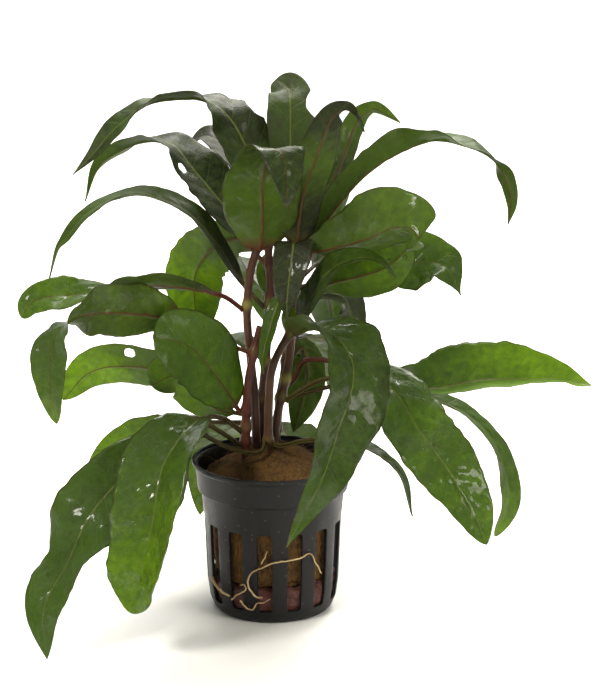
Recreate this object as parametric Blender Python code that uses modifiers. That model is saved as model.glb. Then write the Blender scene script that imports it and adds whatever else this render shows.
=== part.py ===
"""A potted hygrophila: a stem plant for aquariums, sold in a small net pot.

Six stems stand in a plug of mineral wool, which a slotted plastic pot holds over a layer of
red clay. The leaves grow in pairs from the nodes of the stems. Each leaf is one thin blade
with its stalk, bent along a route of a few points that runs down its midrib.

Metres, +Z up, origin at the middle of the pot's base. The front of the plant faces -Y.
"""

import math
from dataclasses import dataclass

import bmesh
import bpy
import numpy as np

MM = 0.001

# Pot. Outer radius and height of each point of the wall, rim first, in millimetres.
POT_HEIGHT = 52.0
POT_OUTSIDE = [(27.2, POT_HEIGHT), (27.2, 50.8), (26.1, 50.2), (25.4, 42.3), (24.2, 41.3), (23.2, 30.0),
               (22.3, 10.0), (21.4, 4.0), (19.8, 1.0), (18.2, 0.0)]
POT_INSIDE = [(17.4, 1.1), (18.9, 1.9), (20.3, 4.4), (21.2, 10.0), (22.1, 30.0), (23.1, 41.6), (24.3, 42.8),
              (25.2, POT_HEIGHT)]
POT_SIDES = 42
SLOT_COUNT = 14
SLOT_WIDTH = 5.1
SLOT_LOW, SLOT_HIGH = 4.6, 32.0
SLOT_FIRST_ANGLE = -6.3
BASE_SLOT_COUNT = 7
BASE_SLOT_WIDTH = 3.0
BASE_SLOT_NEAR, BASE_SLOT_FAR = 8.5, 16.0

# Filling. Radius and height, top first, in millimetres.
WOOL_OUTLINE = [(4.0, 57.0), (8.5, 56.6), (13.0, 53.8), (18.0, 50.6), (22.4, 48.2), (23.9, 46.4), (23.7, 43.4),
                (22.7, 41.2), (21.7, 30.0), (20.9, 12.9)]
CLAY_OUTLINE = [(19.6, 12.4), (20.8, 11.2), (20.7, 8.0), (19.9, 4.6), (18.4, 2.4), (16.8, 1.5)]
FILLING_SIDES = 21
LUMP_DEPTH = 1.4
LUMP_SPACING = 9.0

# Stems. Routes in millimetres, from inside the wool to the tip.
STEM_RADIUS = 1.6
STEM_TIP_SHARE = 0.85
STEM_FOOT = 40.0
NODE_SWELL = 1.3
HOLE_RADIUS = 2.1
STEMS = {
    "stem_left_red": [(-9, -6, 60), (-8.5, -6.5, 74), (-7.3, -7, 84), (-5.3, -6, 93), (-3.7, -5, 99)],
    "stem_left_dark": [(-5.5, -1, 58), (-6, -2, 74), (-7.5, -2, 90), (-8.3, -3, 103), (-7.2, -3, 116),
                       (-4.2, -3, 127)],
    "stem_front_short": [(-1.5, -5, 58), (-1.1, -5, 74), (-0.1, -5.5, 84), (2.9, -5.5, 91.5), (7.2, -6, 98)],
    "stem_middle": [(0.5, 0, 58), (2.2, 0, 70), (4.5, 0, 80), (5.9, 1, 89), (6.9, 0, 103), (6.6, -1, 117),
                    (6.6, -2, 128)],
    "stem_tall": [(-3.5, 4.5, 58), (-3.6, 4.5, 71), (-2.6, 4, 82), (-1.5, 4, 95), (-0.8, 4, 109), (-1.4, 5, 126),
                  (-1.4, 6, 134)],
    "stem_right": [(1, 8.5, 58), (2.4, 9, 70), (4.5, 9, 84), (6.5, 9, 101), (8.5, 8, 118), (9.2, 7, 129)],
}

# Leaves.
LEAF_THICKNESS = 0.7
LEAF_ROWS = 9
STALK_HALF_WIDTH = 0.9
TIP_HALF_WIDTH = 0.25
LEAF_START = 2.6
FRONT = (0.0, -0.95, 0.31)


@dataclass
class Leaf:
    """One leaf. Lengths are in millimetres, turns and fold in degrees."""

    name: str
    stem: str
    height: float
    """where it leaves the stem"""
    width: float
    route: list
    """points along the midrib, from near the stem to the tip"""
    turns: list
    """one for the start and one for each point. 0 faces the front, 90 the sky, 180 away from the front"""
    rise: float = 0.8
    """how fast the blade widens from its stalk: smaller is fuller"""
    fall: float = 0.8
    """how fast it narrows to its tip"""
    stalk: float = 0.1
    """share of the length that is stalk"""
    fold: object = 10
    """how far each half lifts from flat, one value or one for each point"""
    facing: str = "front"
    """sky takes turns from the upright instead"""


LEAVES = [
    Leaf("leaf_top_left_arching", "stem_tall", 133, 19,
         [(-3, 7, 142), (-7, 9, 153), (-12, 12, 163), (-18, 14, 169), (-25, 15, 172), (-36, 16, 171),
          (-44, 15, 168), (-53, 13, 161), (-59, 11, 154), (-66, 9, 147)],
         [30, 20, 15, 25, 60, 80, 80, 60, 35, 25, 25], 0.5, 1.0, 0.1, 8),
    Leaf("leaf_top_left_holed", "stem_tall", 125, 20,
         [(-11, 10, 129), (-17, 12, 137), (-26, 16, 148), (-33, 20, 155), (-43, 24, 156), (-53, 26, 152),
          (-60, 27, 146), (-64, 27, 135)],
         [50, 45, 40, 38, 62, 88, 105, 112, 115], 0.5, 1.1, 0.06, 12),
    Leaf("leaf_left_slender", "stem_tall", 105, 15,
         [(-11, 3, 114), (-19, 1, 127), (-28, -1, 137), (-40, -3, 143), (-50, -5, 142), (-60, -7, 137),
          (-67, -8, 129), (-70, -8, 125), (-73, -8, 115)],
         [60, 58, 60, 62, 66, 72, 60, 45, 60, 60], 0.7, 1.2, 0.1, 10),
    Leaf("leaf_top_folded", "stem_left_dark", 126, 26,
         [(-3, -9, 137), (-3, -17, 148), (-1, -24, 159), (3, -31, 162), (5, -35, 155), (5, -36, 144)],
         [0, 0, 0, 10, 10, 5, 0], 0.5, 0.8, 0.06, 4, "sky"),
    Leaf("leaf_top_upright", "stem_right", 128, 17,
         [(6, 9, 144), (6, 11, 155), (6, 14, 165), (6, 18, 171), (5, 24, 174), (1, 30, 176)],
         [10], 0.4, 0.35, 0.1, 4),
    Leaf("leaf_top_right_curled", "stem_middle", 128, 15,
         [(10, -6, 143), (15, -12, 158), (19, -16, 169), (23, -15, 172), (27, -12, 170), (30, -10, 164)],
         [165, 165, 165, 150, 110, 70, 50], 0.4, 0.9, 0.08),
    Leaf("leaf_top_right_small", "stem_right", 125, 10,
         [(18, 12, 140), (24, 18, 153), (28, 22, 163), (33, 24, 167), (37, 25, 166), (43, 26, 162)],
         [150, 150, 150, 150, 130, 130, 130], 0.7, 0.9, 0.12),
    Leaf("leaf_top_right_arching", "stem_right", 117, 15,
         [(15, 4, 129), (22, 3, 139), (31, 2, 149), (43, 0, 157), (53, -2, 161), (63, -4, 159), (71, -5, 155),
          (76, -6, 148), (78, -6, 140), (77, -6, 133)],
         [100, 100, 100, 100, 100, 82, 60, 75, 130, 150, 150], 0.7, 0.9, 0.05,
         [58, 58, 58, 58, 45, 14, 12, 10, 10, 10, 10]),
    Leaf("leaf_right_rounded", "stem_middle", 124, 27,
         [(17, -8, 125), (29, -15, 130), (38, -21, 135), (44, -26, 136), (47, -29, 133)],
         [110, 143, 143, 143, 143, 143], 0.6, 0.3, 0.08, 35),
    Leaf("leaf_right_nibbled", "stem_right", 104, 18,
         [(18, 5, 111), (27, 2, 114), (37, -2, 118), (45, -7, 126)],
         [120, 145, 150, 150, 150], 0.7, 0.6, 0.15, 8),
    Leaf("leaf_right_pointed", "stem_right", 110, 20,
         [(23, 10, 112), (38, 12, 115), (49, 11, 117), (56, 8, 117), (59, 6, 115), (63, 5, 107)],
         [60, 40, 20, 15, 20, 30, 60], 0.9, 1.1, 0.4, 6),
    Leaf("leaf_right_slender", "stem_middle", 97, 13,
         [(11, -11, 106), (19, -15, 120), (28, -19, 125), (35, -21, 124), (40, -21, 119)],
         [60, 55, 55, 55, 60, 60], 0.8, 0.9, 0.12, 12),
    Leaf("leaf_left_level", "stem_left_dark", 106, 14,
         [(-16, -6, 110), (-26, -10, 113), (-36, -14, 115), (-47, -18, 116), (-58, -21, 114), (-70, -23, 113),
          (-77, -24, 111), (-80, -24, 106)],
         [90, 100, 115, 115, 90, 55, 35, 20, 20], 0.8, 0.5, 0.15, 12),
    Leaf("leaf_left_drooping", "stem_left_red", 91, 18,
         [(-22, -3, 95), (-35, -10, 103), (-48, -24, 108), (-56, -29, 109), (-62, -32, 108), (-67, -34, 104),
          (-70, -36, 97), (-70, -38, 88), (-68, -39, 75)],
         [120, 140, 150, 150, 140, 100, 60, 28, 25, 25], 0.6, 0.6, 0.1, 8),
    Leaf("leaf_left_broad", "stem_left_red", 71, 26,
         [(-15, -9, 78), (-20, -12, 86), (-25, -15, 93), (-31, -18, 97), (-38, -21, 99)],
         [25, 25, 20, 15, 15, 15], 0.65, 0.45, 0.1, 4),
    Leaf("leaf_left_backlit", "stem_tall", 72, 17,
         [(-20, 16, 74), (-38, 30, 75), (-54, 36, 75), (-66, 40, 71), (-75, 42, 61)],
         [110, 140, 145, 145, 150, 150], 0.8, 0.6, 0.25, 8),
    Leaf("leaf_left_short", "stem_tall", 66, 19,
         [(-18, 8, 67), (-26, 12, 72), (-33, 15, 77), (-42, 17, 73)],
         [110, 140, 150, 150, 150], 0.8, 0.5, 0.2, 8),
    Leaf("leaf_left_behind", "stem_tall", 118, 21,
         [(-11, 16, 124), (-21, 28, 118), (-27, 38, 108), (-28, 43, 97), (-27, 45, 86)],
         [150, 160, 170, 170, 170, 170], 0.7, 0.7, 0.15, 8),
    Leaf("leaf_low_left_rear", "stem_tall", 63, 15,
         [(-23, 14, 61), (-38, 22, 55), (-50, 26, 50), (-59, 28, 44), (-65, 29, 36)],
         [100, 120, 140, 150, 150, 150], 0.8, 0.7, 0.25, 8),
    Leaf("leaf_low_left_long", "stem_left_red", 60, 25,
         [(-17, -11, 65), (-22, -15, 68), (-34, -22, 65), (-46, -31, 57), (-57, -40, 46), (-65, -47, 32),
          (-72, -54, 18), (-71, -58, 3)],
         [80, 60, 50, 30, 15, 15, 50, 25, 25], 0.8, 0.9, 0.2, 8),
    Leaf("leaf_low_left_glossy", "stem_left_red", 65, 29,
         [(-16, -12, 70), (-22, -20, 72), (-29, -33, 69), (-34, -43, 63), (-36, -49, 55), (-39, -54, 40),
          (-44, -57, 18)],
         [80, 70, 50, 32, 30, 30, 30, 25], 0.6, 0.55, 0.22, 28),
    Leaf("leaf_low_left_hidden", "stem_front_short", 60, 15,
         [(-5, -12, 58), (-14, -16, 61), (-23, -16, 65), (-29, -14, 60), (-33, -11, 49), (-35, -7, 34)],
         [90, 80, 60, 60, 40, 30, 20], 0.8, 0.8, 0.4, 8),
    Leaf("leaf_front_hanging", "stem_front_short", 98, 28,
         [(15, -19, 102), (22, -31, 101), (26, -40, 95), (25, -46, 86), (22, -50, 78), (16, -53, 61), (5, -54, 39)],
         [0, -5, -12, -20, -22, -22, -22, -15], 0.6, 1.0, 0.06, 20, "sky"),
    Leaf("leaf_right_long_level", "stem_middle", 80, 28,
         [(11, 3, 86), (26, 8, 83), (43, 11, 75), (54, 12, 73), (71, 12, 76), (92, 11, 77), (108, 9, 75)],
         [90, 70, 50, 45, 45, 45, 45, 45], 0.75, 0.95, 0.35, 35),
    Leaf("leaf_low_right_glossy", "stem_middle", 74, 23,
         [(17, -7, 82), (33, -16, 85), (41, -24, 80), (48, -31, 70), (56, -37, 60), (64, -41, 48), (69, -43, 36)],
         [90, 70, 45, 25, 20, 20, 20, 20], 0.7, 0.7, 0.25, 8),
    Leaf("leaf_low_right_slender", "stem_right", 71, 14,
         [(23, 12, 75), (44, 18, 73), (55, 21, 68), (67, 23, 62), (75, 23, 54), (80, 22, 42), (82, 19, 30),
          (77, 15, 19)],
         [90, 75, 70, 68, 66, 64, 60, 55, 50], 0.8, 0.5, 0.3),
    Leaf("leaf_low_right_thin", "stem_front_short", 60, 9,
         [(3, -10, 60), (12, -17, 64), (24, -22, 65), (33, -25, 62), (42, -28, 54), (46, -29, 41)],
         [90, 85, 80, 75, 70, 70, 70], 0.8, 1.0, 0.35),
    Leaf("leaf_right_shaded", "stem_right", 84, 14,
         [(10, 17, 86), (12, 22, 76), (10, 23, 66), (7, 21, 55)],
         [150, 160, 170, 170, 170], 0.8, 0.9, 0.12, 8),
    Leaf("leaf_right_behind", "stem_right", 103, 14,
         [(18, 18, 105), (25, 26, 101), (28, 30, 89), (27, 31, 76)],
         [60, 40, 30, 30, 30], 0.7, 0.8, 0.12, 8),
    Leaf("leaf_center_hanging", "stem_middle", 126, 13,
         [(7, -12, 128), (6, -17, 120), (5, -18, 111), (5, -18, 104)],
         [0], 0.4, 0.9, 0.03, 10, "sky"),
    Leaf("leaf_center_narrow", "stem_middle", 109, 6.5,
         [(2, -9, 108), (-1, -12, 99), (-3, -12, 90), (-3, -11, 84)],
         [0], 0.6, 1.0, 0.1, 10, "sky"),
    Leaf("leaf_center_young", "stem_tall", 107, 7,
         [(-2, 9, 113), (-2, 12, 120)],
         [0], 0.9, 0.8, 0.1, 10, "sky"),
    Leaf("leaf_center_pale", "stem_front_short", 97, 5,
         [(5, -10, 102), (7, -13, 107)],
         [0], 0.8, 0.8, 0.1, 10, "sky"),
    Leaf("leaf_top_left_rear", "stem_tall", 131, 15,
         [(-6, 22, 142), (-14, 33, 151), (-23, 41, 155), (-29, 46, 151), (-34, 48, 145)],
         [40, 40, 40, 50, 70, 80], 0.8, 0.8, 0.12),
    Leaf("leaf_back_top_left", "stem_tall", 127, 18,
         [(-4, 20, 135), (-8, 36, 144), (-12, 50, 147), (-14, 64, 141), (-16, 74, 130)],
         [0], stalk=0.15, facing="sky"),
    Leaf("leaf_back_top_right", "stem_right", 123, 18,
         [(12, 22, 133), (16, 38, 140), (19, 54, 139), (21, 68, 130), (21, 77, 118)],
         [0], stalk=0.15, facing="sky"),
    Leaf("leaf_back_top_small", "stem_right", 127, 15,
         [(3, 20, 140), (3, 34, 152), (3, 47, 156), (4, 60, 149)],
         [0], stalk=0.15, facing="sky"),
    Leaf("leaf_back_middle", "stem_tall", 103, 20,
         [(-2, 20, 106), (-3, 38, 110), (-4, 56, 108), (-4, 70, 96), (-4, 79, 81)],
         [0], stalk=0.15, facing="sky"),
    Leaf("leaf_back_right_high", "stem_right", 112, 17,
         [(18, 24, 117), (27, 40, 118), (35, 54, 116), (40, 66, 106)],
         [0], stalk=0.15, facing="sky"),
    Leaf("leaf_back_right_middle", "stem_right", 92, 19,
         [(11, 24, 99), (16, 42, 101), (19, 58, 96), (21, 70, 83), (22, 77, 67)],
         [0], stalk=0.15, facing="sky"),
    Leaf("leaf_back_right_low", "stem_right", 88, 19,
         [(9, 26, 88), (16, 44, 84), (21, 60, 75), (25, 70, 59), (27, 74, 40)],
         [0], stalk=0.15, facing="sky"),
    Leaf("leaf_back_left_middle", "stem_tall", 85, 19,
         [(-10, 22, 86), (-17, 38, 85), (-22, 54, 78), (-26, 66, 65), (-28, 72, 52)],
         [0], stalk=0.15, facing="sky"),
    Leaf("leaf_back_left_low", "stem_tall", 61, 20,
         [(-9, 22, 59), (-15, 38, 53), (-21, 52, 43), (-25, 62, 27), (-28, 66, 10)],
         [0], stalk=0.15, facing="sky"),
    Leaf("leaf_back_low", "stem_right", 61, 21,
         [(2, 26, 57), (5, 44, 48), (10, 58, 31), (12, 66, 10)],
         [0], stalk=0.15, facing="sky"),
]

# Roots outside the pot. Angle from the front towards +X in degrees, height and gap to the wall in millimetres.
ROOTS = {
    "root_long": (0.45, [(-8, 10.5, 0.4), (-14, 11, 0.5), (-20, 15, 0.6), (-17, 19, 0.6), (-9, 21, 0.5), (2, 23, 0.4),
                         (13, 23.5, 0.4), (23, 24, 0.4), (32, 25, 0.5), (38, 21, 0.4), (44, 17, 0.3)]),
    "root_branch": (0.35, [(-8.5, 22.6, 0.4), (-6, 24.5, 0.5), (-4, 27, 0.3)]),
    "root_left": (0.4, [(-36, 8.2, 0.5), (-31, 10.2, 0.4), (-26, 11.6, 0.4), (-21.8, 13, 0.5), (-23.5, 14.6, 0.5),
                        (-27.5, 14, 0.3)]),
    "root_loop": (0.4, [(-28, 8.4, 0.4), (-24, 6.6, 0.5), (-17, 5.8, 0.5), (-12.6, 8.4, 0.4), (-7, 8.6, 0.4),
                        (-2, 10.2, 0.4)]),
    "root_bundle": (0.7, [(-60, 13.6, 0.3), (-53, 11.6, 0.5), (-46, 10.2, 0.5), (-38.6, 9.4, 0.3)]),
}
ROOT_STEPS = 2

COLORS = {
    "pot": ((0.020, 0.022, 0.026), 0.45),
    "rockwool": ((0.13, 0.075, 0.030), 0.95),
    "clay": ((0.20, 0.035, 0.022), 0.90),
    "red_stem": ((0.13, 0.025, 0.022), 0.45),
    "root": ((0.62, 0.50, 0.30), 0.60),
    "leaf": ((0.075, 0.15, 0.022), 0.40),
    "young_leaf": ((0.16, 0.30, 0.035), 0.40),
}


def clear_scene():
    for old in list(bpy.data.objects):
        bpy.data.objects.remove(old, do_unlink=True)


def new_collection(name):
    group = bpy.data.collections.new(name)
    bpy.context.scene.collection.children.link(group)
    return group


def new_material(name, color, roughness):
    material = bpy.data.materials.new(name)
    material.use_nodes = True
    shader = material.node_tree.nodes["Principled BSDF"]
    shader.inputs["Base Color"].default_value = (*color, 1.0)
    shader.inputs["Roughness"].default_value = roughness
    shader.inputs["Metallic"].default_value = 0.0
    return material


def new_object(name, data, group, material=None):
    thing = bpy.data.objects.new(name, data)
    group.objects.link(thing)
    if material:
        data.materials.append(material)
    return thing


def hide_cutter(thing):
    thing.hide_render = True
    thing.display_type = "WIRE"


def smooth_route(points, steps):
    """Points on a smooth curve through the given ones, so many to each span."""
    points = np.asarray(points, float)
    padded = np.vstack([2 * points[0] - points[1], points, 2 * points[-1] - points[-2]])
    route = []
    for a, b, c, d in zip(padded, padded[1:], padded[2:], padded[3:]):
        for x in np.arange(steps) / steps:
            route.append(0.5 * (2 * b + (c - a) * x + (2 * a - 5 * b + 4 * c - d) * x**2
                                + (3 * b - a - 3 * c + d) * x**3))
    route.append(points[-1])
    return np.array(route)


def lengths_along(route):
    steps = np.linalg.norm(np.diff(route, axis=0), axis=1)
    return np.concatenate([[0.0], np.cumsum(steps)])


def unit(rows):
    return rows / np.linalg.norm(rows, axis=-1, keepdims=True)


def mesh_from_profile(name, points):
    """An open line of edges in the XZ plane, for a Screw modifier to turn."""
    shape = bmesh.new()
    line = [shape.verts.new((r * MM, 0.0, z * MM)) for r, z in points]
    for a, b in zip(line, line[1:]):
        shape.edges.new((a, b))
    mesh = bpy.data.meshes.new(name)
    shape.to_mesh(mesh)
    shape.free()
    return mesh


def add_screw(thing, sides):
    screw = thing.modifiers.new("turn", "SCREW")
    screw.steps = screw.render_steps = sides
    screw.use_merge_vertices = True
    screw.merge_threshold = 0.00001
    screw.use_smooth_shade = True


def add_box_cutter(name, group, size, radius, height, angle):
    """A box at this radius and height, turned to this angle from the front."""
    shape = bmesh.new()
    bmesh.ops.create_cube(shape, size=1.0)
    bmesh.ops.scale(shape, vec=[side * MM for side in size], verts=shape.verts)
    mesh = bpy.data.meshes.new(name)
    shape.to_mesh(mesh)
    shape.free()
    cutter = new_object(name, mesh, group)
    turn = math.radians(angle)
    cutter.location = (radius * math.sin(turn) * MM, -radius * math.cos(turn) * MM, height * MM)
    cutter.rotation_euler[2] = turn
    hide_cutter(cutter)


def cut_with(thing, group):
    cut = thing.modifiers.new("cut", "BOOLEAN")
    cut.operation = "DIFFERENCE"
    cut.operand_type = "COLLECTION"
    cut.collection = group
    cut.solver = "EXACT"


def make_pot(group, cutters, material):
    closed_profile = [(0.0, POT_INSIDE[0][1]), *POT_INSIDE, *POT_OUTSIDE, (0.0, 0.0)]
    pot = new_object("net_pot", mesh_from_profile("net_pot", closed_profile), group, material)
    add_screw(pot, POT_SIDES)
    wall_radius = 22.4
    cut_depth = 7.0
    for i in range(SLOT_COUNT):
        size = (SLOT_WIDTH, cut_depth, SLOT_HIGH - SLOT_LOW)
        angle = SLOT_FIRST_ANGLE + i * 360 / SLOT_COUNT
        add_box_cutter(f"slot_{i + 1}", cutters, size, wall_radius, (SLOT_HIGH + SLOT_LOW) / 2, angle)
    for i in range(BASE_SLOT_COUNT):
        size = (BASE_SLOT_WIDTH, BASE_SLOT_FAR - BASE_SLOT_NEAR, 6.0)
        angle = i * 360 / BASE_SLOT_COUNT
        add_box_cutter(f"base_slot_{i + 1}", cutters, size, (BASE_SLOT_FAR + BASE_SLOT_NEAR) / 2, 0.5, angle)
    cut_with(pot, cutters)


def make_filling(name, outline, group, material, lumps):
    profile = [(0.0, outline[0][1]), *outline, (0.0, outline[-1][1])]
    filling = new_object(name, mesh_from_profile(name, profile), group, material)
    add_screw(filling, FILLING_SIDES)
    push = filling.modifiers.new("lumps", "DISPLACE")
    push.texture = lumps
    push.texture_coords = "LOCAL"
    push.strength = LUMP_DEPTH * MM
    push.mid_level = 1.0
    return filling


def make_wool(group, cutters, material, lumps):
    wool = make_filling("rockwool_plug", WOOL_OUTLINE, group, material, lumps)
    hole_top = 62.0
    hole_foot = STEM_FOOT - 1.5
    for name, route in STEMS.items():
        shape = bmesh.new()
        bmesh.ops.create_cone(shape, cap_ends=True, segments=8, radius1=HOLE_RADIUS * MM,
                              radius2=HOLE_RADIUS * MM, depth=(hole_top - hole_foot) * MM)
        mesh = bpy.data.meshes.new(f"hole_for_{name}")
        shape.to_mesh(mesh)
        shape.free()
        cutter = new_object(mesh.name, mesh, cutters)
        x, y, _ = route[0]
        cutter.location = (x * MM, y * MM, (hole_top + hole_foot) / 2 * MM)
        hide_cutter(cutter)
    cut_with(wool, cutters)


def tube(name, route, radius, shares, group, material):
    """A round solid along the route, its radius scaled at each point by the share there."""
    curve = bpy.data.curves.new(name, "CURVE")
    curve.dimensions = "3D"
    curve.bevel_depth = radius * MM
    curve.bevel_resolution = 2
    curve.use_fill_caps = True
    line = curve.splines.new("POLY")
    line.points.add(len(route) - 1)
    for point, place, share in zip(line.points, route, shares):
        point.co = (*(place * MM), 1.0)
        point.radius = share
    return new_object(name, curve, group, material)


def stem_route(name):
    """The stem's middle line, straight up out of the wool and then through its own points."""
    route = STEMS[name]
    x, y, _ = route[0]
    return np.vstack([[(x, y, STEM_FOOT)], smooth_route(route, 12)])


def point_on_stem(name, height):
    route = stem_route(name)
    return np.array([np.interp(height, route[:, 2], route[:, axis]) for axis in range(3)])


def make_stem(name, group, material):
    """A stem is swollen at the nodes that its leaves grow from, so it has a point at each node."""
    nodes = sorted(leaf.height for leaf in LEAVES if leaf.stem == name)
    top = STEMS[name][-1][2]
    bottom = STEMS[name][0][2]
    between = [(a + b) / 2 for a, b in zip([bottom, *nodes], [*nodes, top]) if b - a > 5]
    heights = sorted({STEM_FOOT, bottom - 2, *between, *nodes, top})
    shares = []
    for height in heights:
        thinning = np.interp(height, [bottom, top], [1.0, STEM_TIP_SHARE])
        swollen = height in nodes and top - height > 2
        shares.append(thinning * (NODE_SWELL if swollen else 1.0))
    tube(name, [point_on_stem(name, height) for height in heights], STEM_RADIUS, shares, group, material)


def eased(values, marks, places):
    """The value at each place, sliding smoothly from each mark's value to the next."""
    values = np.resize(np.asarray(values, float), len(marks))
    span = np.clip(np.searchsorted(marks, places, side="right") - 1, 0, len(marks) - 2)
    part = (places - marks[span]) / (marks[span + 1] - marks[span])
    part = part * part * (3 - 2 * part)
    return values[span] * (1 - part) + values[span + 1] * part


def leaf_route(leaf):
    """The midrib's control points, the first one just outside the stem."""
    start = point_on_stem(leaf.stem, leaf.height)
    away = np.array(leaf.route[0], float) - start
    away[2] = 0.0
    return np.vstack([[start + unit(away) * LEAF_START], leaf.route])


def upright_normals(tangents):
    """A direction square to the route that starts towards the sky and is carried along it without twist."""
    normals = []
    carried = np.array([0.0, 0.0, 1.0])
    for tangent in tangents:
        carried = unit(carried - carried.dot(tangent) * tangent)
        normals.append(carried)
    return np.array(normals)


def half_widths(leaf, shares):
    """Half the blade's width at each share of the length: zero at the stalk and the tip, full between."""
    blade = np.clip((shares - leaf.stalk) / (1 - leaf.stalk), 0, 1)
    widest = leaf.rise / (leaf.rise + leaf.fall)
    width = leaf.width / 2 * (blade / widest) ** leaf.rise * ((1 - blade) / (1 - widest)) ** leaf.fall
    least = np.where(shares < 0.97, STALK_HALF_WIDTH * (1 - 0.55 * shares), TIP_HALF_WIDTH)
    return np.maximum(width, least)


def leaf_frame(leaf, shares):
    """Middle points, side directions and upper-face normals at these shares of the leaf's length."""
    steps = 10
    control = leaf_route(leaf)
    route = smooth_route(control, steps)
    along = lengths_along(route) / lengths_along(route)[-1]
    tangents = unit(np.gradient(route, axis=0))
    turns = np.asarray(leaf.turns, float)
    if leaf.facing == "sky":
        normals = upright_normals(tangents)
    else:
        front = np.array(FRONT)
        normals = unit(front - (tangents @ front)[:, None] * tangents)
        turns = turns * (-1 if leaf.route[-1][0] > control[0][0] else 1)
    middle, tangent, normal = (
        np.stack([np.interp(shares, along, rows[:, axis]) for axis in range(3)], axis=1)
        for rows in (route, tangents, normals))
    tangent = unit(tangent)
    normal = unit(normal - (normal * tangent).sum(axis=1)[:, None] * tangent)
    turn = np.radians(eased(turns, along[::steps], shares))[:, None]
    normal = normal * np.cos(turn) + np.cross(tangent, normal) * np.sin(turn)
    fold = np.radians(eased(leaf.fold, along[::steps], shares))
    return middle, np.cross(tangent, normal), normal, fold


def make_leaf(leaf, group, material):
    """A grid two faces wide, each row of it set square to the midrib, then given its thickness."""
    shares = np.linspace(0, 1, LEAF_ROWS)
    middle, side, normal, fold = leaf_frame(leaf, shares)
    half = half_widths(leaf, shares)
    shape = bmesh.new()
    bmesh.ops.create_grid(shape, x_segments=2, y_segments=LEAF_ROWS - 1, size=1.0)
    for vert in shape.verts:
        row = round((vert.co.y + 1) / 2 * (LEAF_ROWS - 1))
        across = vert.co.x * half[row]
        place = (middle[row] + side[row] * across * math.cos(fold[row])
                 + normal[row] * abs(across) * math.sin(fold[row]))
        vert.co = place * MM
    mesh = bpy.data.meshes.new(leaf.name)
    shape.to_mesh(mesh)
    shape.free()
    thing = new_object(leaf.name, mesh, group, material)
    thick = thing.modifiers.new("thickness", "SOLIDIFY")
    thick.thickness = LEAF_THICKNESS * MM
    thick.offset = 0.0
    mesh.shade_smooth()
    return thing


def make_root(name, group, material):
    radius, points = ROOTS[name]
    heights = [z for _, z in reversed(POT_OUTSIDE)]
    radii = [r for r, _ in reversed(POT_OUTSIDE)]
    route = []
    for angle, height, gap in points:
        out = np.interp(height, heights, radii) + gap + radius
        turn = math.radians(angle)
        route.append((out * math.sin(turn), -out * math.cos(turn), height))
    route = smooth_route(route, ROOT_STEPS)
    shares = np.linspace(1.0, 0.7, len(route))
    tube(name, route, radius, shares, group, material)


def main():
    clear_scene()
    plant = new_collection("potted_hygrophila")
    pot_cutters = new_collection("pot_cutters")
    wool_cutters = new_collection("wool_cutters")
    materials = {name: new_material(name, *look) for name, look in COLORS.items()}
    lumps = bpy.data.textures.new("lumps", "CLOUDS")
    lumps.noise_scale = LUMP_SPACING * MM

    make_pot(plant, pot_cutters, materials["pot"])
    make_wool(plant, wool_cutters, materials["rockwool"], lumps)
    make_filling("clay_layer", CLAY_OUTLINE, plant, materials["clay"], lumps)
    for name in STEMS:
        make_stem(name, plant, materials["red_stem"])
    for leaf in LEAVES:
        young = leaf.name in ("leaf_center_young", "leaf_center_pale")
        make_leaf(leaf, plant, materials["young_leaf" if young else "leaf"])
    for name in ROOTS:
        make_root(name, plant, materials["root"])


main()
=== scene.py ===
# %% [markdown]
# # A potted water plant, dressed leaf by leaf
#
# The object is a stem plant for aquariums, sold in a small black net pot. Mineral wool fills the pot, six
# reddish stems stand in it, and long pointed leaves grow from the nodes of the stems.
#
# A plain model of the plant is loaded first. It says where each piece is and how large it may be. This
# lesson then makes a finer piece in place of each plain one: the pot with its rounded slots, the fibrous
# wool, the clay, the stems with their nodes, the veined leaves and the pale roots.

# %% Load the plain model
import math
import random
from dataclasses import dataclass, field

import bpy
import numpy as np
from mathutils import Matrix, Vector, noise


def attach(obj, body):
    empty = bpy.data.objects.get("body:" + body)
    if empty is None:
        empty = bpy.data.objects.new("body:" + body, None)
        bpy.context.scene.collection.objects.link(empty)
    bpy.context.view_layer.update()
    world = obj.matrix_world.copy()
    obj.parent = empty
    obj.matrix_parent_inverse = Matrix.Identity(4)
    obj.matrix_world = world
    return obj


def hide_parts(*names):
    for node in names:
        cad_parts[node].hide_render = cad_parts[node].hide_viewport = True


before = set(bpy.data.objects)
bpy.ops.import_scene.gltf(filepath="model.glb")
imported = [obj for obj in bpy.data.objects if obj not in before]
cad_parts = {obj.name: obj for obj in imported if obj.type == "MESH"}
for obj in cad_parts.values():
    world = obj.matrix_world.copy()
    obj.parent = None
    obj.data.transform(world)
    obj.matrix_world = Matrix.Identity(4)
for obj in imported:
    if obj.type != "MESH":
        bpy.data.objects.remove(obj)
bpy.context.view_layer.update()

MM = 0.001

# %% [markdown]
# ## Small helpers
#
# An operator of Blender acts on all that is selected, and the loaded pieces are selected at first. So each
# step starts from nothing selected, makes one object active, and ends with its place in its mesh. A real
# workshop would call this a clean bench.

# %% Select, apply and finish


def deselect_all():
    if bpy.context.object and bpy.context.object.mode != "OBJECT":
        bpy.ops.object.mode_set(mode="OBJECT")
    bpy.ops.object.select_all(action="DESELECT")


def make_active(piece):
    deselect_all()
    piece.select_set(True)
    bpy.context.view_layer.objects.active = piece


def name_active(name):
    piece = bpy.context.object
    piece.name = piece.data.name = name
    return piece


def apply_modifiers(piece):
    make_active(piece)
    for modifier in list(piece.modifiers):
        bpy.ops.object.modifier_apply(modifier=modifier.name)


def apply_place(piece):
    make_active(piece)
    bpy.ops.object.transform_apply(location=True, rotation=True, scale=True)


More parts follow.
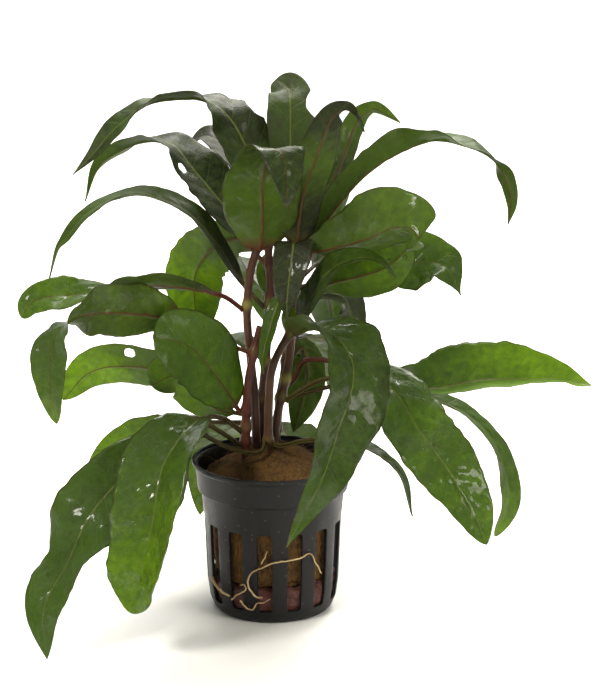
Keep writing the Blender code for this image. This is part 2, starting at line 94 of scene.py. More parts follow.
def finish_piece(piece, nodes, materials):
    """The piece moves with the plant, stands for plain nodes and gets its materials."""
    apply_place(piece)
    piece.data.materials.clear()
    for material in materials:
        piece.data.materials.append(material)
    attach(piece, "root")
    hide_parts(*nodes)


def smooth_route(points, steps):
    """Points on a smooth curve through the given ones, so many to each span."""
    points = np.asarray(points, float)
    padded = np.vstack([2 * points[0] - points[1], points, 2 * points[-1] - points[-2]])
    route = []
    for a, b, c, d in zip(padded, padded[1:], padded[2:], padded[3:]):
        for x in np.arange(steps) / steps:
            route.append(0.5 * (2 * b + (c - a) * x + (2 * a - 5 * b + 4 * c - d) * x**2
                                + (3 * b - a - 3 * c + d) * x**3))
    route.append(points[-1])
    return np.array(route)


def unit(rows):
    return rows / np.linalg.norm(rows, axis=-1, keepdims=True)


deselect_all()
bpy.context.scene.view_settings.view_transform = "Standard"

# %% [markdown]
# ## Camera, light and floor
#
# The photograph looks down on the pot by 14 degrees from about 0.7 m. A long lens keeps the pot's sides
# nearly parallel. Most of the light comes from a large soft lamp above and behind, because that is what makes
# a thin leaf glow from within. Two weaker ones in front show the shine of the upper sides. The floor curves up
# behind the plant, as a photographer's paper roll does, so that no horizon shows, and a lamp of its own makes
# it white.

# %% Camera
CAMERA_PLACE = (0.0092, -0.700, 0.264)
CAMERA_PITCH = 14
FOCAL_PIXELS = 2166
SENSOR = 36.0
FRAME_HEIGHT_PIXELS = 700
bpy.ops.object.camera_add(location=CAMERA_PLACE, rotation=(math.radians(90 - CAMERA_PITCH), 0, 0))
camera = name_active("photo_camera")
camera.data.sensor_width = SENSOR
camera.data.lens = FOCAL_PIXELS / FRAME_HEIGHT_PIXELS * SENSOR
bpy.context.scene.camera = camera
print("lens", round(camera.data.lens, 1), "mm")

# %% Lamps and sky
PLANT_MIDDLE = (0.0, 0.0, 0.09)
PAPER_MIDDLE = (0.0, 1.9, 0.5)
WARM_WHITE, WHITE = (1.0, 0.95, 0.86), (1.0, 1.0, 1.0)
LAMPS = [
    ("lamp_above_behind", (0.10, 0.50, 0.75), PLANT_MIDDLE, 0.6, 14.0, WARM_WHITE),
    ("lamp_front_left", (-0.50, -0.60, 0.70), PLANT_MIDDLE, 0.22, 8.0, WARM_WHITE),
    ("lamp_front_right", (0.65, -0.60, 0.50), PLANT_MIDDLE, 0.35, 4.5, WARM_WHITE),
    ("lamp_on_paper", (0.0, 0.9, 1.9), PAPER_MIDDLE, 1.2, 50.0, WHITE),
]


def add_lamp(name, place, target, side, power, color):
    deselect_all()
    bpy.ops.object.light_add(type="AREA", location=place)
    lamp = bpy.context.object
    lamp.name = name
    lamp.data.size = side
    lamp.data.energy = power
    lamp.data.color = color
    lamp.rotation_euler = (Vector(target) - Vector(place)).to_track_quat("-Z", "Y").to_euler()


for lamp_values in LAMPS:
    add_lamp(*lamp_values)

SKY_COLOR = (1.0, 0.96, 0.89)
SKY_STRENGTH = 0.42
world = bpy.data.worlds.new("pale_room")
bpy.context.scene.world = world
world.use_nodes = True
sky = world.node_tree.nodes["Background"]
sky.inputs["Color"].default_value = (*SKY_COLOR, 1.0)
sky.inputs["Strength"].default_value = SKY_STRENGTH
print(len(LAMPS), "lamps")

# %% Floor that curves up behind
FLOOR_SIDE = 4.0
BEND_START = 1.1
BEND_RADIUS = 0.8
WALL_HEIGHT = 2.5
deselect_all()
bpy.ops.mesh.primitive_plane_add(size=FLOOR_SIDE, location=(0, BEND_START - FLOOR_SIDE / 2, 0))
floor = name_active("paper_floor")
bpy.ops.object.mode_set(mode="EDIT")
bpy.ops.mesh.select_mode(type="EDGE")
bpy.ops.mesh.select_all(action="DESELECT")
bpy.ops.object.mode_set(mode="OBJECT")
for edge in floor.data.edges:
    ends = [floor.matrix_world @ floor.data.vertices[i].co for i in edge.vertices]
    edge.select = all(end.y > BEND_START - 0.01 for end in ends)
bpy.ops.object.mode_set(mode="EDIT")
bpy.ops.mesh.spin(steps=24, angle=math.radians(-90), center=(0, BEND_START, BEND_RADIUS), axis=(1, 0, 0))
bpy.ops.mesh.extrude_region_move(TRANSFORM_OT_translate={"value": (0, 0, WALL_HEIGHT)})
bpy.ops.mesh.select_all(action="SELECT")
bpy.ops.mesh.remove_doubles(threshold=MM)
bpy.ops.mesh.normals_make_consistent(inside=False)
bpy.ops.object.mode_set(mode="OBJECT")
bpy.ops.object.shade_smooth()
apply_place(floor)
paper = bpy.data.materials.new("white_paper")
paper.use_nodes = True
paper.node_tree.nodes["Principled BSDF"].inputs["Base Color"].default_value = (0.86, 0.86, 0.85, 1.0)
paper.node_tree.nodes["Principled BSDF"].inputs["Roughness"].default_value = 0.9
floor.data.materials.append(paper)
print("floor corners", len(floor.data.vertices))

# %% [markdown]
# ## Shared shader groups
#
# A leaf, a stem and a pot all have small uneven specks and soft blotches. Each such effect is built once
# as a node group and is then placed in every material with its own size. The group puts out only a mask or
# a colour, and the shader itself stays in the material.

# %% Node helpers


def add_node(tree, kind, settings=None, **values):
    """A node whose sockets take either a value or another node's output."""
    made = tree.nodes.new(kind)
    for key, value in (settings or {}).items():
        setattr(made, key, value)
    for key, value in values.items():
        socket = made.inputs[key.replace("_", " ")]
        if isinstance(value, bpy.types.NodeSocket):
            tree.links.new(value, socket)
        else:
            socket.default_value = value
    return made


def calculate(tree, operation, first, second=0.0, clamp=False):
    made = tree.nodes.new("ShaderNodeMath")
    made.operation = operation
    made.use_clamp = clamp
    for socket, value in zip(made.inputs, (first, second)):
        if isinstance(value, bpy.types.NodeSocket):
            tree.links.new(value, socket)
        else:
            socket.default_value = value
    return made.outputs[0]


def remap(tree, value, low, high, to_low=0.0, to_high=1.0):
    made = add_node(tree, "ShaderNodeMapRange", {"interpolation_type": "SMOOTHSTEP"}, Value=value,
                    From_Min=low, From_Max=high, To_Min=to_low, To_Max=to_high)
    return made.outputs[0]


def blend_colors(tree, share, first, second, blend="MIX"):
    made = tree.nodes.new("ShaderNodeMix")
    made.data_type = "RGBA"
    made.blend_type = blend
    for index, value in ((0, share), (6, first), (7, second)):
        socket = made.inputs[index]
        if isinstance(value, bpy.types.NodeSocket):
            tree.links.new(value, socket)
        else:
            socket.default_value = value if index == 0 else (*value, 1.0)
    return made.outputs[2]


def read_attribute(tree, name):
    made = tree.nodes.new("ShaderNodeAttribute")
    made.attribute_name = name
    return made.outputs["Fac"]


def object_place(tree):
    return tree.nodes.new("ShaderNodeTexCoord").outputs["Object"]


def new_group(name, inputs, outputs):
    """A node group with these named sockets, and its input and output nodes."""
    group = bpy.data.node_groups.new(name, "ShaderNodeTree")
    for label, kind, value in inputs:
        socket = group.interface.new_socket(label, in_out="INPUT", socket_type=kind)
        if value is not None:
            socket.default_value = value
    for label, kind in outputs:
        group.interface.new_socket(label, in_out="OUTPUT", socket_type=kind)
    return group, group.nodes.new("NodeGroupInput"), group.nodes.new("NodeGroupOutput")


def place_group(tree, group, **values):
    return add_node(tree, "ShaderNodeGroup", {"node_tree": group}, **values)


def new_material(name):
    material = bpy.data.materials.new(name)
    material.use_nodes = True
    tree = material.node_tree
    return material, tree, tree.nodes["Principled BSDF"]


# %% Group for soft blotches


def make_blotches():
    group, given, result = new_group(
        "soft_blotches",
        [("Place", "NodeSocketVector", None), ("Size", "NodeSocketFloat", 100.0),
         ("Contrast", "NodeSocketFloat", 0.2)],
        [("Mask", "NodeSocketFloat")])
    cloud = add_node(group, "ShaderNodeTexNoise", Vector=given.outputs["Place"], Scale=given.outputs["Size"],
                     Detail=4.0, Roughness=0.6)
    low = calculate(group, "SUBTRACT", 0.5, given.outputs["Contrast"])
    high = calculate(group, "ADD", 0.5, given.outputs["Contrast"])
    mask = remap(group, cloud.outputs[0], low, high)
    group.links.new(mask, result.inputs["Mask"])
    return group


# %% Group for fine specks


def make_specks():
    group, given, result = new_group(
        "fine_specks",
        [("Place", "NodeSocketVector", None), ("Size", "NodeSocketFloat", 1500.0),
         ("Amount", "NodeSocketFloat", 0.15)],
        [("Mask", "NodeSocketFloat")])
    cells = add_node(group, "ShaderNodeTexVoronoi", Vector=given.outputs["Place"], Scale=given.outputs["Size"])
    near = calculate(group, "LESS_THAN", cells.outputs["Distance"], 0.33)
    chance = add_node(group, "ShaderNodeSeparateColor", Color=cells.outputs["Color"])
    chosen = calculate(group, "LESS_THAN", chance.outputs[0], given.outputs["Amount"])
    group.links.new(calculate(group, "MULTIPLY", near, chosen), result.inputs["Mask"])
    return group


BLOTCHES = make_blotches()
SPECKS = make_specks()
print("groups:", BLOTCHES.name, SPECKS.name)

# %% [markdown]
# ## The veins of a leaf
#
# A leaf of this plant has one strong midrib. Side veins leave it in turns, run out at a slant and bend
# forward near the margin. Between them lies a net of very fine veins. The pattern could be painted on an
# image, but here it is worked out from two distances that every point of a leaf knows in millimetres: how
# far along the midrib it is and how far out. So the veins keep their real spacing on a long and on a short leaf.

# %% Group for leaf veins
VEIN_SPACING = 7.0
VEIN_SLANT = 0.62
VEIN_BEND = 0.030


def make_veins():
    group, given, result = new_group(
        "leaf_veins",
        [("Along", "NodeSocketFloat", 0.0), ("Across", "NodeSocketFloat", 0.0),
         ("Width", "NodeSocketFloat", 0.35), ("Rib", "NodeSocketFloat", 0.4)],
        [("Side", "NodeSocketFloat"), ("Net", "NodeSocketFloat"), ("Midrib", "NodeSocketFloat")])
    along, across = given.outputs["Along"], given.outputs["Across"]
    out = calculate(group, "ABSOLUTE", across)
    wobble = add_node(group, "ShaderNodeCombineXYZ", X=across, Y=along)
    noise_value = add_node(group, "ShaderNodeTexNoise", Vector=wobble.outputs[0], Scale=0.22, Detail=1.0)
    shifted = calculate(group, "ADD", along, calculate(group, "MULTIPLY", noise_value.outputs[0], 2.0))
    lean = calculate(group, "ADD", calculate(group, "MULTIPLY", out, VEIN_SLANT),
                     calculate(group, "MULTIPLY", calculate(group, "MULTIPLY", out, out), VEIN_BEND))
    right = calculate(group, "MULTIPLY", calculate(group, "GREATER_THAN", across, 0.0), 0.5)
    turns = calculate(group, "DIVIDE", calculate(group, "SUBTRACT", shifted, lean), VEIN_SPACING)
    part = calculate(group, "FRACT", calculate(group, "ADD", turns, right))
    away = calculate(group, "MULTIPLY",
                     calculate(group, "MINIMUM", part, calculate(group, "SUBTRACT", 1.0, part)), VEIN_SPACING)
    side = remap(group, away, 0.0, given.outputs["Width"], 1.0, 0.0)
    cells = add_node(group, "ShaderNodeTexVoronoi", {"feature": "DISTANCE_TO_EDGE"},
                     Vector=wobble.outputs[0], Scale=0.75)
    net = remap(group, cells.outputs["Distance"], 0.0, 0.12, 1.0, 0.0)
    midrib = remap(group, calculate(group, "DIVIDE", out, given.outputs["Rib"]), 0.45, 1.0, 1.0, 0.0)
    for label, mask in (("Side", side), ("Net", net), ("Midrib", midrib)):
        group.links.new(mask, result.inputs[label])
    return group


VEINS = make_veins()
print("side veins every", VEIN_SPACING, "mm")

# %% [markdown]
# ## Leaf finishes
#
# The upper side is a dark, slightly shiny green with paler veins. On old top leaves it is mixed with a grey
# purple, which is partly their own tint and partly a painted grey sheen. The underside is duller, with a reddish
# brown midrib. A leaf is thin, so a good part of the light goes through it: the shader is mixed with a
# Translucent one. Each leaf carries its own numbers in attributes that both finishes read: a tone from 0, dark,
# to 1, bright, which stands for the leaf's age and also paints the shade and the backlit brightness on some
# leaves and parts of leaves, how wet, how purple and grey with painted sheen, and how red-ribbed it is. Wet
# places are smoother and more crinkled, so they sparkle.

# %% Leaf materials
SEE_THROUGH = 0.45
GREEN_STALK, RED_STALK = (0.085, 0.075, 0.022), (0.115, 0.026, 0.016)
# Grey purple of old leaves, which also serves as a painted grey sheen.
OLD_PURPLE_AND_SHEEN = (0.050, 0.040, 0.040)


def shade_by_tone(tree, tone, dark, middle, bright):
    lower = blend_colors(tree, remap(tree, tone, 0.0, 0.5), dark, middle)
    return blend_colors(tree, remap(tree, tone, 0.5, 1.0), lower, bright)


def leaf_material(name, shades, glows, vein_color, rib_colors, roughness, gloss):
    material, tree, shader = new_material(name)
    tone, stalk = read_attribute(tree, "tone"), read_attribute(tree, "stalk")
    edge, red = read_attribute(tree, "edge"), read_attribute(tree, "red")
    wet, purple = read_attribute(tree, "wet"), read_attribute(tree, "purple")
    veins = place_group(tree, VEINS, Along=read_attribute(tree, "along"), Width=0.4,
                        Across=read_attribute(tree, "across"), Rib=read_attribute(tree, "rib"))
    place = object_place(tree)
    broad = place_group(tree, BLOTCHES, Place=place, Size=75.0, Contrast=0.20).outputs["Mask"]
    small = place_group(tree, BLOTCHES, Place=place, Size=420.0, Contrast=0.22).outputs["Mask"]
    crinkle = place_group(tree, BLOTCHES, Place=place, Size=850.0, Contrast=0.35).outputs["Mask"]
    patches = place_group(tree, BLOTCHES, Place=place, Size=100.0, Contrast=0.07).outputs["Mask"]
    ripples = place_group(tree, BLOTCHES, Place=place, Size=1500.0, Contrast=0.30).outputs["Mask"]
    film = calculate(tree, "MULTIPLY", wet, patches)
    specks = place_group(tree, SPECKS, Place=place, Size=420.0, Amount=0.04).outputs["Mask"]

    # The tone with soft blotches sets the colour: the leaf's age, and in places painted shade or painted backlit
    # brightness.
    uneven = calculate(tree, "ADD", tone, calculate(tree, "MULTIPLY", broad, 0.14))
    uneven = calculate(tree, "ADD", uneven, calculate(tree, "MULTIPLY", small, 0.14))
    uneven = calculate(tree, "SUBTRACT", uneven, 0.14, clamp=True)
    color = shade_by_tone(tree, uneven, *shades)
    # Mixes in the grey purple: partly the old leaves' own tint, partly a painted grey sheen.
    color = blend_colors(tree, calculate(tree, "MULTIPLY", purple, remap(tree, broad, 0.0, 1.0, 1.0, 0.45)),
                         color, OLD_PURPLE_AND_SHEEN)
    color = blend_colors(tree, calculate(tree, "MULTIPLY", veins.outputs["Net"], 0.10), color, vein_color)
    color = blend_colors(tree, calculate(tree, "MULTIPLY", veins.outputs["Side"], 0.26), color, vein_color)
    color = blend_colors(tree, calculate(tree, "MULTIPLY", specks, 0.5), color, (0.040, 0.026, 0.010))
    margin = calculate(tree, "MULTIPLY", remap(tree, edge, 0.94, 1.0), 0.6)
    color = blend_colors(tree, margin, color, (0.035, 0.022, 0.010))
    rib_color = blend_colors(tree, red, *rib_colors)
    rib = calculate(tree, "MULTIPLY", veins.outputs["Midrib"], 0.75)
    color = blend_colors(tree, rib, color, rib_color)
    color = blend_colors(tree, stalk, color, blend_colors(tree, red, GREEN_STALK, RED_STALK))
    tree.links.new(color, shader.inputs["Base Color"])

    dry = remap(tree, small, 0.0, 1.0, roughness, roughness + 0.14)
    tree.links.new(calculate(tree, "SUBTRACT", dry, calculate(tree, "MULTIPLY", film, 0.24)),
                   shader.inputs["Roughness"])
    shader.inputs["Specular IOR Level"].default_value = gloss
    tree.links.new(calculate(tree, "MULTIPLY", film, 0.8), shader.inputs["Coat Weight"])
    shader.inputs["Coat Roughness"].default_value = 0.10
    height = calculate(tree, "MULTIPLY", crinkle, calculate(tree, "ADD", calculate(tree, "MULTIPLY", wet, 0.8), 0.3))
    height = calculate(tree, "ADD", height,
                       calculate(tree, "MULTIPLY", ripples, calculate(tree, "MULTIPLY", film, 3.0)))
    height = calculate(tree, "SUBTRACT", height, calculate(tree, "MULTIPLY", veins.outputs["Net"], 0.5))
    height = calculate(tree, "SUBTRACT", height, veins.outputs["Side"])
    bump = add_node(tree, "ShaderNodeBump", Strength=0.4, Distance=0.0002, Height=height)
    tree.links.new(bump.outputs[0], shader.inputs["Normal"])

    through = shade_by_tone(tree, uneven, *glows)
    # The grey purple of old leaves, painted sheen included, also tints the light let through.
    through = blend_colors(tree, calculate(tree, "MULTIPLY", purple, 0.6), through, OLD_PURPLE_AND_SHEEN)
    through = blend_colors(tree, calculate(tree, "MULTIPLY", veins.outputs["Side"], 0.25), through,
                           tuple(channel * 0.5 for channel in glows[1]))
    through = blend_colors(tree, calculate(tree, "MAXIMUM", calculate(tree, "MAXIMUM", rib, stalk), margin),
                           through, (0.050, 0.020, 0.008))
    thin = add_node(tree, "ShaderNodeBsdfTranslucent", Color=through, Normal=bump.outputs[0])
    mix = tree.nodes.new("ShaderNodeMixShader")
    mix.inputs[0].default_value = SEE_THROUGH
    tree.links.new(shader.outputs[0], mix.inputs[1])
    tree.links.new(thin.outputs[0], mix.inputs[2])
    tree.links.new(mix.outputs[0], tree.nodes["Material Output"].inputs["Surface"])
    return material


GLOWS = ((0.020, 0.032, 0.003), (0.130, 0.215, 0.006), (0.440, 0.600, 0.012))
LEAF_UPPER = leaf_material("leaf_upper_side", ((0.016, 0.024, 0.006), (0.048, 0.092, 0.009), (0.110, 0.210, 0.008)),
                           GLOWS, (0.105, 0.165, 0.030), ((0.170, 0.215, 0.045), (0.105, 0.045, 0.018)), 0.38, 0.17)
LEAF_UNDER = leaf_material("leaf_underside", ((0.024, 0.033, 0.010), (0.060, 0.098, 0.014), (0.110, 0.205, 0.010)),
                           GLOWS, (0.085, 0.110, 0.024), ((0.110, 0.055, 0.018), (0.120, 0.036, 0.016)), 0.48, 0.16)
print("leaf sides:", LEAF_UPPER.name, LEAF_UNDER.name)

# %% [markdown]
# ## The net pot
#
# The real pot is moulded from soft black plastic, about a millimetre thick, with 14 upright slots that let
# the roots out and more slots in its base. It could be cut from a thick turned solid with 21 cutters. Here it
# is drawn up as a sheet, ring by ring, as a potter pulls a wall: a circle is extruded to each height and
# scaled to the radius there. The faces of the slots are deleted, and only then does the sheet get its
# thickness and its rounded edges. So each slot has clean, even edges.

# %% Pot sizes, in millimetres
POT_HEIGHT = 52.0
POT_RINGS = [(18.2, 0.0), (19.2, 0.25), (20.3, 1.5), (21.2, 3.6), (21.55, 4.6), (22.3, 10.0), (22.75, 20.0),
             (23.25, 32.0), (24.15, 41.2), (24.35, 41.6), (25.3, 42.2), (25.45, 42.8), (26.0, 49.6), (26.3, 50.2),
             (27.0, 50.6), (27.2, 51.0), (27.2, POT_HEIGHT)]
BASE_RINGS = [17.2, 16.0, 8.5]
POT_WALL = 1.0
SLOT_COUNT = 14
FACES_PER_SLOT = 10
SLOT_FACES = 5
SLOT_LOW, SLOT_HIGH = 4.6, 32.0
SLOT_FIRST_ANGLE = -6.3
BASE_SLOT_COUNT = 7
BASE_SLOT_FACES = 5
SLOT_CORNER = 0.9
POT_SIDES = SLOT_COUNT * FACES_PER_SLOT
FACE_ANGLE = 360 / POT_SIDES
print("pot of", POT_SIDES, "sides")

# %% Pull up a turned wall


def turned_sheet(name, rings, sides, first_angle=0.0):
    """An open sheet that goes through rings of these radii and heights, lowest first. Its top edge is selected."""
    deselect_all()
    radius, height = rings[0]
    bpy.ops.mesh.primitive_circle_add(vertices=sides, radius=radius * MM, fill_type="NOTHING",
                                      location=(0, 0, height * MM), rotation=(0, 0, math.radians(first_angle)))
    sheet = name_active(name)
    bpy.ops.object.mode_set(mode="EDIT")
    bpy.ops.mesh.select_all(action="SELECT")
    for next_radius, next_height in rings[1:]:
        bpy.ops.mesh.extrude_region_move(
            TRANSFORM_OT_translate={"value": (0, 0, (next_height - height) * MM)})
        share = next_radius / radius
        bpy.ops.transform.resize(value=(share, share, 1), center_override=(0, 0, next_height * MM))
        radius, height = next_radius, next_height
    return sheet


def select_points(piece, chosen):
    """Selects the points for which chosen(place) holds, in edit mode, and the faces and edges between them."""
    bpy.ops.object.mode_set(mode="OBJECT")
    mesh = piece.data
    for group in (mesh.vertices, mesh.edges, mesh.polygons):
        group.foreach_set("select", np.zeros(len(group), bool))
    for point in mesh.vertices:
        point.select = chosen(piece.matrix_world @ point.co)
    bpy.ops.object.mode_set(mode="EDIT")
    bpy.ops.mesh.select_mode(type="VERT")


def select_faces(piece, chosen):
    """Selects the faces for whose middle chosen(place) holds."""
    bpy.ops.object.mode_set(mode="EDIT")
    bpy.ops.mesh.select_mode(type="FACE")
    bpy.ops.object.mode_set(mode="OBJECT")
    mesh = piece.data
    for group in (mesh.vertices, mesh.edges, mesh.polygons):
        group.foreach_set("select", np.zeros(len(group), bool))
    for face in mesh.polygons:
        face.select = chosen(piece.matrix_world @ face.center)
    bpy.ops.object.mode_set(mode="EDIT")


def angle_from_front(place):
    return math.degrees(math.atan2(place.x, -place.y))


def near_slot(place, count, first, width):
    """Whether the place lies within half the width, in degrees, of one of the evenly spaced slots."""
    pitch = 360 / count
    away = (angle_from_front(place) - first + pitch / 2) % pitch - pitch / 2
    return abs(away) < width / 2


pot = turned_sheet("net_pot_wall", POT_RINGS, POT_SIDES, SLOT_FIRST_ANGLE + FACE_ANGLE / 2)
select_points(pot, lambda place: place.z < 0.05 * MM)
base_radius = POT_RINGS[0][0]
for ring_radius in BASE_RINGS:
    bpy.ops.mesh.extrude_region_move(TRANSFORM_OT_translate={"value": (0, 0, 0)})
    ring_share = ring_radius / base_radius
    bpy.ops.transform.resize(value=(ring_share, ring_share, 1), center_override=(0, 0, 0))
    base_radius = ring_radius
bpy.ops.mesh.edge_face_add()
print("pot wall", len(pot.data.vertices), "points before its slots")

# %% Open the slots


def in_wall_slot(place):
    in_height = SLOT_LOW * MM < place.z < SLOT_HIGH * MM
    return in_height and near_slot(place, SLOT_COUNT, SLOT_FIRST_ANGLE, SLOT_FACES * FACE_ANGLE)


def in_base_slot(place):
    radius = math.hypot(place.x, place.y) / MM
    in_band = place.z < 0.05 * MM and BASE_RINGS[2] < radius < BASE_RINGS[1]
    return in_band and near_slot(place, BASE_SLOT_COUNT, SLOT_FIRST_ANGLE + 2 * FACE_ANGLE,
                                 BASE_SLOT_FACES * FACE_ANGLE)


def at_slot_corner(place):
    at_end = min(abs(place.z - SLOT_LOW * MM), abs(place.z - SLOT_HIGH * MM)) < 0.05 * MM
    half = SLOT_FACES * FACE_ANGLE
    at_side = (near_slot(place, SLOT_COUNT, SLOT_FIRST_ANGLE, half + 0.4)
               and not near_slot(place, SLOT_COUNT, SLOT_FIRST_ANGLE, half - 0.4))
    return at_end and at_side


select_faces(pot, in_wall_slot)
bpy.ops.mesh.delete(type="FACE")
select_faces(pot, in_base_slot)
bpy.ops.mesh.delete(type="FACE")
select_points(pot, at_slot_corner)
bpy.ops.mesh.bevel(offset=SLOT_CORNER * MM, segments=3, affect="VERTICES")
bpy.ops.mesh.select_all(action="SELECT")
bpy.ops.mesh.normals_make_consistent(inside=False)
bpy.ops.object.mode_set(mode="OBJECT")
wall = pot.modifiers.new("wall", "SOLIDIFY")
wall.thickness = POT_WALL * MM
wall.offset = -1.0
rounding = pot.modifiers.new("rounding", "BEVEL")
rounding.width = 0.18 * MM
rounding.segments = 2
rounding.limit_method = "ANGLE"
rounding.angle_limit = math.radians(50)
apply_modifiers(pot)
bpy.ops.object.shade_smooth_by_angle(angle=math.radians(35))
print("pot with", SLOT_COUNT, "slots:", len(pot.data.polygons), "faces")

# %% [markdown]
# ## Pot plastic
#
# The plastic is nearly black, with a soft shine that breaks up in the fine grain of the mould. Dried water
# leaves faint pale blotches.

# %% Pot finish


def pot_plastic():
    material, tree, shader = new_material("pot_black_plastic")
    place = object_place(tree)
    broad = place_group(tree, BLOTCHES, Place=place, Size=60.0, Contrast=0.3).outputs["Mask"]
    fine = place_group(tree, BLOTCHES, Place=place, Size=1400.0, Contrast=0.35).outputs["Mask"]
    dust = place_group(tree, SPECKS, Place=place, Size=900.0, Amount=0.05).outputs["Mask"]
    color = blend_colors(tree, calculate(tree, "MULTIPLY", broad, 0.6), (0.0060, 0.0058, 0.0058),
                         (0.0125, 0.0122, 0.0120))
    color = blend_colors(tree, calculate(tree, "MULTIPLY", dust, 0.25), color, (0.12, 0.11, 0.09))
    tree.links.new(color, shader.inputs["Base Color"])
    tree.links.new(remap(tree, broad, 0.0, 1.0, 0.38, 0.55), shader.inputs["Roughness"])
    shader.inputs["Specular IOR Level"].default_value = 0.20
    bump = add_node(tree, "ShaderNodeBump", Strength=0.25, Distance=0.0001, Height=fine)
    tree.links.new(bump.outputs[0], shader.inputs["Normal"])
    return material


finish_piece(pot, ["net_pot"], [pot_plastic()])

# %% [markdown]
# ## Rockwool plug and clay
#
# Mineral wool is a mat of fine fibres, here stained brown by water and algae. Its top is a rough mound around
# the stems. A smooth turned solid would look like felt, so the solid is remeshed into small even faces and
# pushed in and out by two cloud textures, one for lumps and one for tufts. Loose fibres then stand out of it.

# %% Lumpy solids inside the pot
WOOL_RINGS = [(20.4, 12.6), (21.6, 30.0), (22.6, 41.0), (23.4, 43.6), (23.6, 46.4), (22.4, 48.6), (18.0, 51.0),
              (13.0, 54.2), (8.5, 56.8), (3.0, 57.2)]
CLAY_RINGS = [(16.6, 1.7), (18.4, 2.5), (19.9, 4.6), (20.7, 8.0), (20.8, 11.4), (19.6, 12.4)]


def cloud(name, kind, size):
    texture = bpy.data.textures.new(name, kind)
    texture.noise_scale = size * MM
    return texture


def lumpy_solid(name, rings, voxel, pushes):
    """A turned solid with caps, remeshed evenly and pushed inwards by each texture to its depth in millimetres."""
    solid = turned_sheet(name, rings, 48)
    bpy.ops.mesh.edge_face_add()
    select_points(solid, lambda place: place.z < (rings[0][1] + 0.01) * MM)
    bpy.ops.mesh.edge_face_add()
    bpy.ops.mesh.select_all(action="SELECT")
    bpy.ops.mesh.normals_make_consistent(inside=False)
    bpy.ops.object.mode_set(mode="OBJECT")
    even = solid.modifiers.new("even_faces", "REMESH")
    even.mode = "VOXEL"
    even.voxel_size = voxel * MM
    for texture, depth in pushes:
        push = solid.modifiers.new(texture.name, "DISPLACE")
        push.texture = texture
        push.texture_coords = "LOCAL"
        push.strength = depth * MM
        push.mid_level = 0.8
    apply_place(solid)
    apply_modifiers(solid)
    bpy.ops.object.shade_smooth()
    return solid


wool = lumpy_solid("rockwool_body", WOOL_RINGS, 0.6,
                   [(cloud("lumps", "CLOUDS", 9.0), 2.0), (cloud("tufts", "CLOUDS", 2.2), 1.1)])
clay = lumpy_solid("red_clay_body", CLAY_RINGS, 0.5, [(cloud("grains", "VORONOI", 3.0), -1.4)])
print("wool", len(wool.data.polygons), "faces, clay", len(clay.data.polygons), "faces")

# %% Wool and clay finishes


def wool_material():
    material, tree, shader = new_material("brown_mineral_wool")
    place = object_place(tree)
    stretched = add_node(tree, "ShaderNodeMapping", Vector=place, Scale=(1.0, 1.0, 0.22))
    broad = place_group(tree, BLOTCHES, Place=place, Size=110.0, Contrast=0.22).outputs["Mask"]
    fibre = place_group(tree, BLOTCHES, Place=stretched.outputs[0], Size=1300.0, Contrast=0.18).outputs["Mask"]
    # The dark end of these blotches is darker than the stain alone: partly stain, partly painted shade for the shaded
    # top of the mound and the wool behind the slots.
    color = blend_colors(tree, broad, (0.018, 0.010, 0.004), (0.115, 0.055, 0.012))
    color = blend_colors(tree, calculate(tree, "MULTIPLY", fibre, 0.4), color, (0.200, 0.115, 0.038))
    tree.links.new(color, shader.inputs["Base Color"])
    shader.inputs["Roughness"].default_value = 0.85
    shader.inputs["Specular IOR Level"].default_value = 0.2
    bump = add_node(tree, "ShaderNodeBump", Strength=0.8, Distance=0.0004, Height=fibre)
    tree.links.new(bump.outputs[0], shader.inputs["Normal"])
    return material


def clay_material():
    material, tree, shader = new_material("brick_red_clay")
    place = object_place(tree)
    broad = place_group(tree, BLOTCHES, Place=place, Size=160.0, Contrast=0.25).outputs["Mask"]
    fine = place_group(tree, BLOTCHES, Place=place, Size=1500.0, Contrast=0.3).outputs["Mask"]
    color = blend_colors(tree, broad, (0.024, 0.0055, 0.003), (0.076, 0.013, 0.006))
    color = blend_colors(tree, calculate(tree, "MULTIPLY", fine, 0.25), color, (0.17, 0.05, 0.022))
    tree.links.new(color, shader.inputs["Base Color"])
    tree.links.new(remap(tree, broad, 0.0, 1.0, 0.55, 0.85), shader.inputs["Roughness"])
    bump = add_node(tree, "ShaderNodeBump", Strength=0.6, Distance=0.0003, Height=fine)
    tree.links.new(bump.outputs[0], shader.inputs["Normal"])
    return material


WOOL = wool_material()
finish_piece(wool, ["rockwool_plug"], [WOOL])
finish_piece(clay, ["clay_layer"], [clay_material()])

# %% [markdown]
# ## Round tubes along a route
#
# Stems, roots and loose fibres are all round and thin. A curve with a round bevel makes each of them from its
# middle line alone, and a radius at each point lets it swell and taper. It is then made a mesh, so that its
# place is in its points.

# %% Tube helper


def make_tube(name, lines, sides_level):
    """One mesh of round tubes. Each line is a list of (place, radius), both in millimetres."""
    deselect_all()
    curve = bpy.data.curves.new(name, "CURVE")
    curve.dimensions = "3D"
    curve.bevel_depth = MM
    curve.bevel_resolution = sides_level
    curve.use_fill_caps = True
    for line in lines:
        spline = curve.splines.new("POLY")
        spline.points.add(len(line) - 1)
        for point, (place, radius) in zip(spline.points, line):
            point.co = (*(np.asarray(place) * MM), 1.0)
            point.radius = radius
    tube = bpy.data.objects.new(name, curve)
    bpy.context.scene.collection.objects.link(tube)
    make_active(tube)
    bpy.ops.object.convert(target="MESH")
    bpy.ops.object.mode_set(mode="EDIT")
    bpy.ops.mesh.select_all(action="SELECT")
    bpy.ops.mesh.remove_doubles(threshold=0.001 * MM)
    bpy.ops.object.mode_set(mode="OBJECT")
    bpy.ops.object.shade_smooth_by_angle(angle=math.radians(50))
    return bpy.context.object


# %% Loose fibres on the wool
FIBRE_COUNT = 420
FIBRE_RADIUS = 0.07


